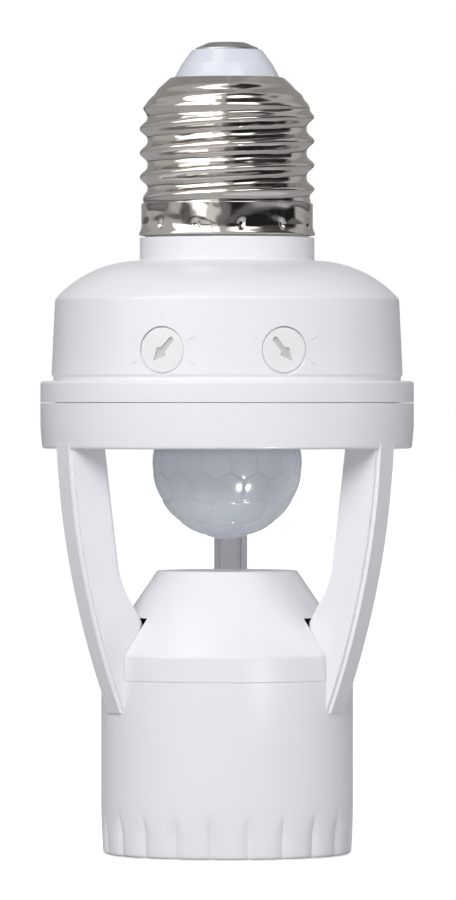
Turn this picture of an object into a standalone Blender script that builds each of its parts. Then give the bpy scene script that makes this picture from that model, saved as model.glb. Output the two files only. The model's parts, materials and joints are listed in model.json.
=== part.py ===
"""Motion sensor lamp holder: a screw cap, a sensor housing, three legs and a lamp socket.

Lengths are metres and +Z is up. The origin is the centre of the skirt's open bottom rim,
the front of the holder looks along -Y, and angles are measured from +X towards +Y.
"""

import math

import bmesh
import bpy
from mathutils import Matrix, Vector

# Running gaps
CLEARANCE = 0.0003
SLOT_CLEARANCE = 0.0003

# Socket skirt, the lowest part of the leg frame
SKIRT_HEIGHT = 0.0262
SKIRT_TAPER = 0.0003
SKIRT_WALL = 0.0018
SKIRT_ROOM = 0.0018
SKIRT_EDGE = 0.0006
FLUTE_COUNT = 21
FLUTE_START = -96.2
FLUTE_HEIGHT = 0.0068
FLUTE_FADE = 0.0016
FLUTE_DEPTH = 0.0004
LEDGE_DROP = 0.0022
LEDGE_THICKNESS = 0.0015

# Lower ring and its floor, the top of the leg frame
RING_RADIUS = 0.0280
RING_RISE = 0.0183
RING_HEIGHT = 0.0066
RING_WALL = 0.0019
RING_EDGE = 0.0005
RING_DRAFT = 0.0003
FLOOR_THICKNESS = 0.0018
BOARD_POST_HEIGHT = 0.0070
BOARD_POST_RADIUS = 0.0016
BOARD_POST_OFFSET = 0.00045
BOARD_POST_ANGLES = (0, 120, 240)

# Legs
LEG_ANGLES = (90, 210, 330)
LEG_THICKNESS = 0.00495
LEG_EDGE = 0.0005
LEG_INSET = 0.0002
LEG_TOP_DEPTH = 0.0054
LEG_SWELL_INSET = 0.0012
LEG_SWELL_DROP = 0.00045
LEG_FOOT_DROP = 0.0048
LEG_FOOT_PROUD = 0.0003
KNEE_DEPTH = 0.0051
KNEE_RISE = 0.0066
KNEE_BLEND = 0.0040
BRACE_PLAY = 0.0002
BRACE_RISE = 0.0007

# Wire channel in the rear leg
LEAD_RADIUS = 0.0006
CHANNEL_WIDTH = 0.0033
CHANNEL_DEPTH = 0.00245
CHANNEL_CORNER = 0.000297
LEAD_DEPTH = 0.00155
LEAD_SPACING = 0.0015
LEAD_ENTRY = 0.0028
WIRE_COVER_PLAY = 0.00045
WIRE_COVER_THICKNESS = 0.0006
WIRE_COVER_SINK = 0.0001
WIRE_COVER_STOP = 0.0026

# Lens dome
LENS_RADIUS = 0.0113
LENS_FACET_INSET = 0.00015
LENS_DROP = 0.0020
LENS_WALL = 0.0006
LENS_FLANGE_WIDTH = 0.0017
LENS_FLANGE_THICKNESS = 0.0010
LENS_ROWS = ((0, 16, -97.5), (-20.5, 16, -86.25), (-41, 13, -91.5), (-61, 6, -98), (-90, 1, 0))

# Upper housing
FLANGE_HEIGHT = 0.0032
FLANGE_STEP = 0.00166
WALL_DRAFT = 0.00054
WALL_HEIGHT = 0.01225
WALL_GROOVE_DEPTH = 0.0003
WALL_GROOVE_HEIGHT = 0.0007
SHOULDER_HEIGHT = 0.00575
HOUSING_WALL = 0.0017
NECK_STEP = 0.00013
NECK_HEIGHT = 0.0035
CAP_SPIGOT_WALL = 0.00201
SPIGOT_GAP = 0.0011
CAP_SPIGOT_GAP = 0.0004
SCREW_OFFSET = 0.00195
SCREW_ANGLES = (30, 150, 270)
SCREW_POST_RADIUS = 0.0024
SCREW_SHAFT_RADIUS = 0.0012
SCREW_HEAD_RADIUS = 0.0022
SCREW_HEAD_HEIGHT = 0.0012
SCREW_LENGTH = 0.0110
SCREW_PAD_RADIUS = 0.0037
SCREW_PAD_HEIGHT = 0.0015

# Trimmers and their knobs
KNOB_ANGLE = 20.3
KNOB_HEIGHT_ABOVE_FLANGE = 0.0045
KNOB_RADIUS = 0.0032
KNOB_RECESS = 0.00045
KNOB_THICKNESS = 0.0022
KNOB_SHAFT_RADIUS = 0.0010
KNOB_SHAFT_LENGTH = 0.0026
ARROW_LENGTH = 0.0045
ARROW_SHAFT_WIDTH = 0.0009
ARROW_HEAD_WIDTH = 0.0019
ARROW_HEAD_LENGTH = 0.0016
ARROW_DEPTH = 0.0005
TIME_ARROW_ANGLE = 228
LUX_ARROW_ANGLE = -50
TRIMMER_WIDTH = 0.0066
TRIMMER_HALF_HEIGHT = 0.0036
TRIMMER_DEPTH = 0.0042

# Circuit board and what it carries
BOARD_INSET = 0.0011
BOARD_THICKNESS = 0.0012
RELAY_SIZE = (0.0155, 0.0105, 0.0112)
RELAY_PLACE = (0.0, 0.0090)
FILM_CAPACITOR_SIZE = (0.0055, 0.0130, 0.0100)
FILM_CAPACITOR_PLACE = (-0.0130, 0.0)
SMOOTHING_CAPACITOR_RADIUS = 0.0040
SMOOTHING_CAPACITOR_HEIGHT = 0.0105
SMOOTHING_CAPACITOR_PLACE = (0.0130, -0.0010)
FUSE_RADIUS = 0.0014
FUSE_LENGTH = 0.0070
FUSE_PLACE = (0.0, -0.0100)
CHIP_SIZE = (0.0098, 0.0062, 0.0030)
CHIP_PLACE = (0.0, -0.0040)
PIR_HEIGHT = 0.0040
PIR_BASE_INSET = 0.0064
PIR_RIM = 0.0003
SPACER_WALL = 0.0013
PIN_RADIUS = 0.00025
LIGHT_SENSOR_RADIUS = 0.0015
LIGHT_SENSOR_HEIGHT = 0.0042
LIGHT_SENSOR_INSET = 0.0037
CAP_LIVE_PLACE = (-0.0051, -0.00765)
CAP_NEUTRAL_PLACE = (0.00612, -0.00765)

# Screw cap
THREAD_PITCH = 0.003629
THREAD_CREST = 0.01311
THREAD_DEPTH = 0.00117
THREAD_PHASE = 0.0045
SHELL_HEIGHT = 0.02365
SHELL_WALL = 0.00035
SHELL_SKIRT_INSET = 0.00025
SHELL_SKIRT_HEIGHT = 0.0054
SHELL_FLARE = 0.00012
SHELL_FLARE_HEIGHT = 0.0006
SHELL_SHOULDER_HEIGHT = 0.0045
SHELL_MOUTH_GAP = 0.0006
DIMPLE_COUNT = 12
DIMPLE_HEIGHT = 0.0016
DIMPLE_SIZE = 0.0011
DIMPLE_DEPTH = 0.00035
CONE_HEIGHT = 0.0042
CONE_TOP_RADIUS = 0.0052
CONE_FOOT_RADIUS = 0.0079
INSULATOR_BORE = 0.0011
CONTACT_RADIUS = 0.0048
CONTACT_TOP_RADIUS = 0.0033
CONTACT_HEIGHT = 0.00085
CONTACT_STEM_RADIUS = 0.0008
CONTACT_STEM_LENGTH = 0.0035

# Socket cover
COVER_BAND_HEIGHT = 0.0035
COVER_CONE_HEIGHT = 0.0124
COVER_CONE_RUN = 0.0084
COVER_WALL = 0.0015
COVER_EDGE = 0.0003
COVER_SPIGOT_DEPTH = 0.0019
COVER_NOTCH_RISE = 0.0017

# Lamp socket
SOCKET_HEADROOM = 0.0089
SOCKET_LENGTH = 0.0240
SOCKET_FLOOR = 0.0020
SOCKET_WALL = 0.00134
SOCKET_CHAMFER_RUN = 0.0014
SOCKET_CHAMFER_HEIGHT = 0.0026
SOCKET_FLANGE_THICKNESS = 0.0015
SOCKET_LIP_HEIGHT = 0.0010
SOCKET_LIP_WIDTH = 0.00046
SOCKET_THREAD_PLAY = 0.0002
SOCKET_SHELL_FLANGE_WIDTH = 0.00291
SOCKET_SCREW_HEAD = 0.0020
SOCKET_SCREW_HEAD_HEIGHT = 0.0012
SOCKET_SCREW_RADIUS = 0.0011
SOCKET_SCREW_LENGTH = 0.0062
SOCKET_BOSS_RADIUS = 0.0024
TONGUE_ROOT_INSET = 0.0024
TONGUE_TAIL = 0.0015
TONGUE_REACH = 0.0110
TONGUE_FLAT = 0.0030
TONGUE_DROP = 0.0018
TONGUE_CURL = 0.0006
TONGUE_WIDTH = 0.0050
TONGUE_THICKNESS = 0.0005
TONGUE_GAP = 0.00045
RIVET_RADIUS = 0.0006
RIVET_HEAD_RADIUS = 0.0015
RIVET_HEAD_HEIGHT = 0.0005
SHELL_RIVET_INSET = 0.00161
SHELL_RIVET_HEAD_RADIUS = 0.0011
SHELL_RIVET_ANGLE = 50

# Facets round each turned form
SEGMENTS = 40
CAP_SEGMENTS = 28
INNER_SEGMENTS = 20
THREAD_ROWS = 4
SOCKET_THREAD_ROWS = 3
FLUTE_SEGMENTS = 2
KNOB_SEGMENTS = 20
SMALL_SEGMENTS = 12
PIN_SEGMENTS = 6
TUBE_STEP = 9

# Radii that follow from the sizes above
THREAD_ROOT = THREAD_CREST - THREAD_DEPTH
SHELL_BORE = THREAD_ROOT - SHELL_WALL
SHELL_SKIRT_RADIUS = THREAD_CREST - SHELL_SKIRT_INSET
SHELL_SKIRT_BORE = SHELL_SKIRT_RADIUS - SHELL_WALL
SHELL_FLARE_RADIUS = THREAD_CREST + SHELL_FLARE
SHELL_MOUTH_RADIUS = CONE_FOOT_RADIUS + SHELL_MOUTH_GAP
CAP_SPIGOT_RADIUS = SHELL_SKIRT_BORE - CLEARANCE
NECK_BORE = CAP_SPIGOT_RADIUS - CAP_SPIGOT_WALL
NECK_RADIUS = SHELL_FLARE_RADIUS - NECK_STEP
SOCKET_CREST = THREAD_CREST + SOCKET_THREAD_PLAY
SOCKET_ROOT = THREAD_ROOT + 2 * SOCKET_THREAD_PLAY
SOCKET_SHELL_OUTER = SOCKET_CREST + SHELL_WALL
SOCKET_SHELL_FLANGE = SOCKET_CREST - SOCKET_SHELL_FLANGE_WIDTH
SOCKET_BORE = SOCKET_SHELL_OUTER + CLEARANCE
SOCKET_LIP_RADIUS = SOCKET_BORE - SOCKET_LIP_WIDTH
SOCKET_BARREL_RADIUS = SOCKET_BORE + SOCKET_WALL
SOCKET_TOP_RADIUS = SOCKET_BARREL_RADIUS - SOCKET_CHAMFER_RUN
SOCKET_SCREW_PLACE = SOCKET_SHELL_FLANGE - SOCKET_BOSS_RADIUS
SHELL_RIVET_PLACE = SOCKET_CREST - SHELL_RIVET_INSET
TONGUE_ROOT = SOCKET_SHELL_FLANGE - TONGUE_ROOT_INSET
LEDGE_BORE = SOCKET_BARREL_RADIUS + CLEARANCE
SKIRT_BORE = SOCKET_BARREL_RADIUS + SKIRT_ROOM
SKIRT_RADIUS = SKIRT_BORE + SKIRT_WALL
COVER_TOP_RADIUS = SKIRT_RADIUS - COVER_CONE_RUN
RING_BORE = RING_RADIUS - RING_WALL
WALL_FOOT_RADIUS = RING_RADIUS - FLANGE_STEP
WALL_TOP_RADIUS = WALL_FOOT_RADIUS - WALL_DRAFT
HOUSING_BORE = RING_BORE - CLEARANCE - HOUSING_WALL
BOARD_RADIUS = HOUSING_BORE - BOARD_INSET
WIRE_COVER_WIDTH = CHANNEL_WIDTH - WIRE_COVER_PLAY
LENS_FLANGE_RADIUS = LENS_RADIUS + LENS_FLANGE_WIDTH
FLOOR_MIDDLE_RADIUS = (LENS_FLANGE_RADIUS + HOUSING_BORE) / 2
SCREW_PLACE = FLOOR_MIDDLE_RADIUS + SCREW_OFFSET
BOARD_POST_PLACE = FLOOR_MIDDLE_RADIUS + BOARD_POST_OFFSET
LEG_TOP_OUTER = RING_RADIUS - LEG_INSET
LEG_TOP_INNER = LEG_TOP_OUTER - LEG_TOP_DEPTH
LEG_SWELL_RADIUS = RING_RADIUS - LEG_SWELL_INSET
LEG_FOOT_RADIUS = SKIRT_RADIUS + LEG_FOOT_PROUD
BRACE_RADIUS = LEDGE_BORE + BRACE_PLAY
KNEE_RADIUS = (LEG_TOP_OUTER + 2 * LEG_SWELL_RADIUS + LEG_FOOT_RADIUS) / 4 - KNEE_DEPTH
LENS_FACE = LENS_RADIUS - LENS_FACET_INSET
LENS_HOLE = LENS_FACE / math.cos(math.pi / LENS_ROWS[0][1]) + CLEARANCE
PIR_BASE_RADIUS = LENS_RADIUS - PIR_BASE_INSET
PIR_RADIUS = PIR_BASE_RADIUS - PIR_RIM
LIGHT_SENSOR_PLACE = LENS_RADIUS - LIGHT_SENSOR_INSET

# Heights that follow from the sizes above
LEDGE_TOP = SKIRT_HEIGHT - LEDGE_DROP
LEDGE_BOTTOM = LEDGE_TOP - LEDGE_THICKNESS
COVER_BOTTOM = SKIRT_HEIGHT + CLEARANCE
COVER_BAND_TOP = COVER_BOTTOM + COVER_BAND_HEIGHT
COVER_TOP = COVER_BAND_TOP + COVER_CONE_HEIGHT
SOCKET_TOP = COVER_TOP - SOCKET_HEADROOM
SOCKET_CEILING = SOCKET_TOP - SOCKET_FLOOR
SOCKET_BOTTOM = SOCKET_CEILING - SOCKET_LENGTH
RING_BOTTOM = COVER_TOP + RING_RISE
LEG_FOOT = SKIRT_HEIGHT - LEG_FOOT_DROP
LEG_SWELL_HEIGHT = (RING_BOTTOM + LEG_FOOT) / 2 - LEG_SWELL_DROP
BRACE_HEIGHT = SOCKET_TOP + BRACE_RISE
KNEE_HEIGHT = BRACE_HEIGHT + KNEE_RISE
FLOOR_TOP = RING_BOTTOM + FLOOR_THICKNESS
RING_TOP = RING_BOTTOM + RING_HEIGHT
FLANGE_BOTTOM = RING_TOP + CLEARANCE
FLANGE_TOP = FLANGE_BOTTOM + FLANGE_HEIGHT
WALL_TOP = FLANGE_TOP + WALL_HEIGHT
SHOULDER_TOP = WALL_TOP + SHOULDER_HEIGHT
NECK_TOP = SHOULDER_TOP + NECK_HEIGHT
CAP_SPIGOT_TOP = NECK_TOP + SHELL_SKIRT_HEIGHT - CAP_SPIGOT_GAP
BOARD_BOTTOM = FLOOR_TOP + BOARD_POST_HEIGHT + CLEARANCE
BOARD_TOP = BOARD_BOTTOM + BOARD_THICKNESS
PART_SEAT = BOARD_TOP + CLEARANCE
SCREW_PAD_TOP = FLOOR_TOP + SCREW_PAD_HEIGHT
SPIGOT_BOTTOM = SCREW_PAD_TOP + SPIGOT_GAP
SCREW_POST_BOTTOM = SCREW_PAD_TOP + CLEARANCE
LENS_CENTRE = RING_BOTTOM - LENS_DROP
LENS_SEAT = FLOOR_TOP + CLEARANCE
KNOB_HEIGHT = FLANGE_TOP + KNOB_HEIGHT_ABOVE_FLANGE
SHELL_BOTTOM = NECK_TOP + CLEARANCE
SHELL_TOP = SHELL_BOTTOM + SHELL_HEIGHT
CONE_TOP = SHELL_TOP + CONE_HEIGHT
CONTACT_BOTTOM = CONE_TOP + CLEARANCE
CONTACT_TOP = CONTACT_BOTTOM + CONTACT_HEIGHT
SOCKET_FLANGE_TOP = LEDGE_BOTTOM - CLEARANCE
SOCKET_SHELL_TOP = SOCKET_CEILING - CLEARANCE
SOCKET_SHELL_BOTTOM = SOCKET_BOTTOM + SOCKET_LIP_HEIGHT + CLEARANCE
TONGUE_TOP = SOCKET_CEILING - TONGUE_GAP
BOSS_BOTTOM = SOCKET_TOP + CLEARANCE


def clear_scene():
    for thing in list(bpy.data.objects):
        bpy.data.objects.remove(thing)


def make_material(name, colour, roughness, metallic=0.0):
    material = bpy.data.materials.new(name)
    material.use_nodes = True
    shader = material.node_tree.nodes["Principled BSDF"]
    shader.inputs["Base Color"].default_value = (*colour, 1)
    shader.inputs["Roughness"].default_value = roughness
    shader.inputs["Metallic"].default_value = metallic
    return material


def polar(radius, degrees, height=0.0):
    angle = math.radians(degrees)
    return Vector((radius * math.cos(angle), radius * math.sin(angle), height))


def arc(centre, radius, start, end, steps):
    """Points of a circular arc in the radius and height plane, angles in degrees."""
    points = []
    for step in range(steps + 1):
        angle = math.radians(start + (end - start) * step / steps)
        points.append((centre[0] + radius * math.cos(angle), centre[1] + radius * math.sin(angle)))
    return points


def bezier(start, control, end, steps):
    """Points of a curve that leaves start and reaches end along lines through control."""
    points = []
    for step in range(steps + 1):
        t = step / steps
        weights = ((1 - t) ** 2, 2 * t * (1 - t), t * t)
        corners = (start, control, end)
        points.append(tuple(sum(w * c[k] for w, c in zip(weights, corners)) for k in (0, 1)))
    return points


def towards(start, end, distance):
    """The point that lies that far from start on the way to end."""
    step = (Vector(end) - Vector(start)).normalized() * distance
    return (start[0] + step[0], start[1] + step[1])


def offset_line(points, distance):
    """The polyline moved sideways, to the left of its direction."""
    moved = []
    for index, point in enumerate(points):
        before = Vector(points[max(index - 1, 0)])
        after = Vector(points[min(index + 1, len(points) - 1)])
        along = (after - before).normalized()
        moved.append((point[0] - along[1] * distance, point[1] + along[0] * distance))
    return moved


def finish(name, mesh_work, material, smooth=True):
    bmesh.ops.recalc_face_normals(mesh_work, faces=mesh_work.faces[:])
    mesh = bpy.data.meshes.new(name)
    mesh_work.to_mesh(mesh)
    mesh_work.free()
    if smooth:
        mesh.shade_smooth()
        mesh.set_sharp_from_angle(angle=math.radians(35))
    thing = bpy.data.objects.new(name, mesh)
    bpy.context.scene.collection.objects.link(thing)
    if material:
        mesh.materials.append(material)
    return thing


def lathe(name, profile, material, segments=SEGMENTS, relief=None, start=0):
    """A closed outline of (radius, height) points turned about the Z axis from the start angle.

    relief, where given, takes a point's radius, height and angle and returns its new radius.
    """
    work = bmesh.new()
    points = [work.verts.new(polar(radius, start, height)) for radius, height in profile]
    edges = []
    for index, point in enumerate(points):
        following = (index + 1) % len(points)
        if profile[index][0] > 0 or profile[following][0] > 0:
            edges.append(work.edges.new((point, points[following])))
    bmesh.ops.spin(work, geom=points + edges, cent=(0, 0, 0), axis=(0, 0, 1),
                   angle=2 * math.pi, steps=segments, use_duplicate=False)
    bmesh.ops.remove_doubles(work, verts=work.verts[:], dist=1e-7)
    if relief:
        for vertex in work.verts:
            angle = math.atan2(vertex.co.y, vertex.co.x)
            radius = relief(math.hypot(vertex.co.x, vertex.co.y), vertex.co.z, angle)
            vertex.co.x = radius * math.cos(angle)
            vertex.co.y = radius * math.sin(angle)
    return finish(name, work, material)


def prism(name, outline, thickness, material, matrix=None):
    """A flat outline of (x, y) points, extruded evenly both ways along local Z."""
    work = bmesh.new()
    points = [work.verts.new((x, y, -thickness / 2)) for x, y in outline]
    face = work.faces.new(points)
    grown = bmesh.ops.extrude_face_region(work, geom=[face])
    moved = [part for part in grown["geom"] if isinstance(part, bmesh.types.BMVert)]
    bmesh.ops.translate(work, verts=moved, vec=(0, 0, thickness))
    if matrix:
        bmesh.ops.transform(work, matrix=matrix, verts=work.verts[:])
    return finish(name, work, material, smooth=False)


def cylinder(name, radius, bottom, top, material=None, place=(0, 0), segments=SMALL_SEGMENTS):
    work = bmesh.new()
    matrix = Matrix.Translation((place[0], place[1], (bottom + top) / 2))
    bmesh.ops.create_cone(work, cap_ends=True, segments=segments, radius1=radius,
                          radius2=radius, depth=top - bottom, matrix=matrix)
    return finish(name, work, material)


def block(name, size, centre, material, bevel=0.0):
    work = bmesh.new()
    matrix = Matrix.Translation(centre) @ Matrix.Diagonal((*size, 1))
    bmesh.ops.create_cube(work, size=1, matrix=matrix)
    if bevel:
        bmesh.ops.bevel(work, geom=work.edges[:], offset=bevel, segments=1, affect="EDGES")
    return finish(name, work, material, smooth=False)


def boolean(target, operand, operation):
    operand.hide_render = True
    operand.display_type = "WIRE"
    modifier = target.modifiers.new(operand.name, "BOOLEAN")
    modifier.operation = operation
    modifier.solver = "EXACT"
    modifier.object = operand


def cut(target, operand):
    boolean(target, operand, "DIFFERENCE")


def join(target, operand):
    boolean(target, operand, "UNION")


def radial_plane(degrees):
    """Maps local x to the radius, local y to the height and local z across the radius."""
    out = polar(1, degrees)
    up = Vector((0, 0, 1))
    across = out.cross(up)
    matrix = Matrix((out, up, across)).transposed()
    return matrix.to_4x4()


def facing_out(degrees, radius, height):
    """Maps local x to the right, y up and z outwards, seen from outside at that angle."""
    out = polar(1, degrees)
    up = Vector((0, 0, 1))
    right = up.cross(out)
    turn = Matrix((right, up, out)).transposed().to_4x4()
    return Matrix.Translation(polar(radius, degrees, height)) @ turn


def tube(name, points, radius, material):
    """A lead: a round tube on a smooth curve through the points, with filled ends."""
    smooth = []
    for index in range(len(points) - 1):
        before = Vector(points[max(index - 1, 0)])
        start = Vector(points[index])
        end = Vector(points[index + 1])
        after = Vector(points[min(index + 2, len(points) - 1)])
        steps = max(2, round((end - start).length / (TUBE_STEP * radius)))
        for step in range(steps):
            t = step / steps
            smooth.append(0.5 * ((2 * start) + (end - before) * t
                                 + (2 * before - 5 * start + 4 * end - after) * t ** 2
                                 + (3 * start - before - 3 * end + after) * t ** 3))
    smooth.append(Vector(points[-1]))
    curve = bpy.data.curves.new(name, "CURVE")
    curve.dimensions = "3D"
    curve.bevel_depth = radius
    curve.bevel_resolution = 2
    curve.use_fill_caps = True
    spline = curve.splines.new("POLY")
    spline.points.add(len(smooth) - 1)
    for place, point in zip(spline.points, smooth):
        place.co = (*point, 1)
    thing = bpy.data.objects.new(name, curve)
    bpy.context.scene.collection.objects.link(thing)
    curve.materials.append(material)
    return thing


def wave(phase):
    """A rounded thread form: 1 on the crest and 0 in the root."""
    return 0.5 + 0.5 * math.cos(2 * math.pi * phase)


def make_skirt(material):
    def flutes(radius, height, angle):
        if radius < SKIRT_BORE + SKIRT_WALL / 4 or height > FLUTE_HEIGHT:
            return radius
        fade = min(1, (FLUTE_HEIGHT - height) / FLUTE_FADE)
        groove = max(0, math.cos(FLUTE_COUNT * (angle - math.radians(FLUTE_START)))) ** 2
        return radius - FLUTE_DEPTH * groove * fade

    rim = SKIRT_RADIUS - SKIRT_TAPER
    profile = [
        (SKIRT_RADIUS, SKIRT_HEIGHT),
        (SKIRT_RADIUS, FLUTE_HEIGHT + FLUTE_FADE),
        (SKIRT_RADIUS - SKIRT_TAPER / 4, FLUTE_HEIGHT),
        (SKIRT_RADIUS - SKIRT_TAPER / 3, FLUTE_HEIGHT - FLUTE_FADE),
        *arc((rim - SKIRT_EDGE, SKIRT_EDGE), SKIRT_EDGE, 0, -90, 1),
        (SKIRT_BORE, 0),
        (SKIRT_BORE, LEDGE_BOTTOM),
        (LEDGE_BORE, LEDGE_BOTTOM),
        (LEDGE_BORE, LEDGE_TOP),
        (SKIRT_BORE, LEDGE_TOP),
        (SKIRT_BORE, SKIRT_HEIGHT),
    ]
    return lathe("leg_frame", profile, material, FLUTE_COUNT * FLUTE_SEGMENTS, flutes, FLUTE_START)


def make_ring():
    profile = [
        (LENS_HOLE, RING_BOTTOM),
        *arc((RING_RADIUS - RING_DRAFT - RING_EDGE, RING_BOTTOM + RING_EDGE), RING_EDGE, -90, 0, 1),
        (RING_RADIUS, RING_BOTTOM + RING_HEIGHT / 2),
        (RING_RADIUS, RING_TOP),
        (RING_BORE, RING_TOP),
        (RING_BORE, FLOOR_TOP),
        (LENS_HOLE, FLOOR_TOP),
    ]
    return lathe("frame_ring", profile, None)


def leg_inner_edge():
    """The leg's inner edge from the ring down to the cover: a long run, the knee, the brace."""
    top = (LEG_TOP_INNER, RING_BOTTOM)
    knee = (KNEE_RADIUS, KNEE_HEIGHT)
    brace = (BRACE_RADIUS, BRACE_HEIGHT)
    bend = bezier(towards(knee, top, KNEE_BLEND), knee, towards(knee, brace, KNEE_BLEND), 4)
    return [top, *bend, brace]


def leg_outer_edge():
    """The leg's outer edge from the ring down to its square foot."""
    foot = (LEG_FOOT_RADIUS, LEG_FOOT)
    return bezier((LEG_TOP_OUTER, RING_BOTTOM), (LEG_SWELL_RADIUS, LEG_SWELL_HEIGHT), foot, 8)


def make_leg(degrees):
    floor_middle = RING_BOTTOM + FLOOR_THICKNESS / 2
    wall_middle = SKIRT_RADIUS - SKIRT_WALL / 2
    outline = [
        (LEG_TOP_OUTER, floor_middle),
        *leg_outer_edge(),
        (wall_middle, LEG_FOOT),
        (wall_middle, LEDGE_BOTTOM + LEDGE_THICKNESS / 2),
        (BRACE_RADIUS, LEDGE_BOTTOM + LEDGE_THICKNESS / 2),
        *reversed(leg_inner_edge()),
        (LEG_TOP_INNER, floor_middle),
    ]
    name = "frame_leg_" + str(degrees)
    leg = prism(name, outline, LEG_THICKNESS, None, radial_plane(degrees))
    bevel = leg.modifiers.new("edges", "BEVEL")
    bevel.width = LEG_EDGE
    bevel.segments = 1
    bevel.limit_method = "ANGLE"
    bevel.angle_limit = math.radians(60)
    leg.modifiers.new("flat_faces", "TRIANGULATE")
    return leg


def make_wire_channel():
    """The groove for the two leads: down the rear leg's inner side and in under the cover."""
    edge = leg_inner_edge()
    mouth = offset_line(edge, -CLEARANCE)
    bottom = offset_line(edge, CHANNEL_DEPTH)
    above = FLOOR_TOP + CLEARANCE
    exit_floor = SOCKET_TOP + CLEARANCE
    lean = (edge[-2][0] - edge[-1][0]) / (edge[-2][1] - edge[-1][1])
    corner = bottom[-1][0] + lean * (exit_floor - bottom[-1][1]) - CHANNEL_CORNER
    outline = [
        (mouth[0][0], above),
        *mouth[:-1],
        (BRACE_RADIUS - CLEARANCE, BRACE_HEIGHT),
        (BRACE_RADIUS - CLEARANCE, exit_floor),
        (corner, exit_floor),
        *reversed(bottom[:-1]),
        (bottom[0][0], above),
    ]
    return prism("wire_channel", outline, CHANNEL_WIDTH, None, radial_plane(LEG_ANGLES[0]))


def make_leg_frame(material):
    frame = make_skirt(material)
    join(frame, make_ring())
    for degrees in LEG_ANGLES:
        join(frame, make_leg(degrees))
    for degrees in SCREW_ANGLES:
        place = polar(SCREW_PLACE, degrees)
        name = "screw_pad_" + str(degrees)
        join(frame, cylinder(name, SCREW_PAD_RADIUS, RING_BOTTOM + CLEARANCE, SCREW_PAD_TOP, None, place))
    for degrees in BOARD_POST_ANGLES:
        place = polar(BOARD_POST_PLACE, degrees)
        name = "board_post_" + str(degrees)
        top = FLOOR_TOP + BOARD_POST_HEIGHT
        join(frame, cylinder(name, BOARD_POST_RADIUS, RING_BOTTOM + CLEARANCE, top, None, place))
    for degrees in SCREW_ANGLES:
        place = polar(SCREW_PLACE, degrees)
        recess = RING_BOTTOM + SCREW_HEAD_HEIGHT + 2 * CLEARANCE
        below = RING_BOTTOM - SCREW_HEAD_HEIGHT
        name = "screw_recess_" + str(degrees)
        cut(frame, cylinder(name, SCREW_HEAD_RADIUS + CLEARANCE, below, recess, None, place))
        name = "screw_hole_" + str(degrees)
        above = SCREW_PAD_TOP + SCREW_PAD_HEIGHT
        cut(frame, cylinder(name, SCREW_SHAFT_RADIUS + CLEARANCE, below, above, None, place))
    cut(frame, make_wire_channel())
    return frame


def make_wire_cover(material):
    edge = leg_inner_edge()
    start = towards(edge[0], edge[1], CLEARANCE)
    stop = towards(edge[-1], edge[-2], WIRE_COVER_STOP)
    edge = [start, *edge[1:-1], stop]
    outline = offset_line(edge, WIRE_COVER_SINK)
    outline += reversed(offset_line(edge, WIRE_COVER_SINK + WIRE_COVER_THICKNESS))
    return prism("wire_cover", outline, WIRE_COVER_WIDTH, material, radial_plane(LEG_ANGLES[0]))


def make_lens(material):
    """The dome's outside is cut by one plane for each lens cell, its inside is round."""
    top = LENS_SEAT + LENS_FLANGE_THICKNESS
    blank = LENS_RADIUS * 1.2
    work = bmesh.new()
    bottom = LENS_CENTRE - blank
    matrix = Matrix.Translation((0, 0, (top + bottom) / 2))
    bmesh.ops.create_cone(work, cap_ends=True, segments=SEGMENTS, radius1=blank,
                          radius2=blank, depth=top - bottom, matrix=matrix)
    for elevation, count, first in LENS_ROWS:
        for cell in range(count):
            flat = polar(math.cos(math.radians(elevation)), first + 360 * cell / count)
            normal = flat + Vector((0, 0, math.sin(math.radians(elevation))))
            point = Vector((0, 0, LENS_CENTRE)) + normal * LENS_FACE
            geometry = work.verts[:] + work.edges[:] + work.faces[:]
            result = bmesh.ops.bisect_plane(work, geom=geometry, dist=1e-8, plane_co=point,
                                            plane_no=normal, clear_outer=True)
            rim = [part for part in result["geom_cut"] if isinstance(part, bmesh.types.BMEdge)]
            bmesh.ops.holes_fill(work, edges=rim, sides=0)
    dome = finish("lens_dome", work, material, smooth=False)
    join(dome, cylinder("lens_flange", LENS_FLANGE_RADIUS, LENS_SEAT, top, None, (0, 0), CAP_SEGMENTS))
    inner = LENS_FACE - LENS_WALL
    hollow = [
        *arc((0, LENS_CENTRE), inner, -90, 0, 5),
        (inner, top + LENS_WALL),
        (0, top + LENS_WALL),
    ]
    hollow[0] = (0, LENS_CENTRE - inner)
    cut(dome, lathe("lens_hollow", hollow, None, INNER_SEGMENTS))
    return dome


def shoulder_arc(inset, steps):
    """The housing's rounded shoulder, from the wall's top to the neck, moved in by inset."""
    run = WALL_TOP_RADIUS - NECK_RADIUS
    radius = (run ** 2 + SHOULDER_HEIGHT ** 2) / (2 * SHOULDER_HEIGHT)
    centre = (NECK_RADIUS, SHOULDER_TOP - radius)
    start = math.degrees(math.asin((WALL_TOP - centre[1]) / radius))
    return arc(centre, radius - inset, start, 90, steps)


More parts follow.
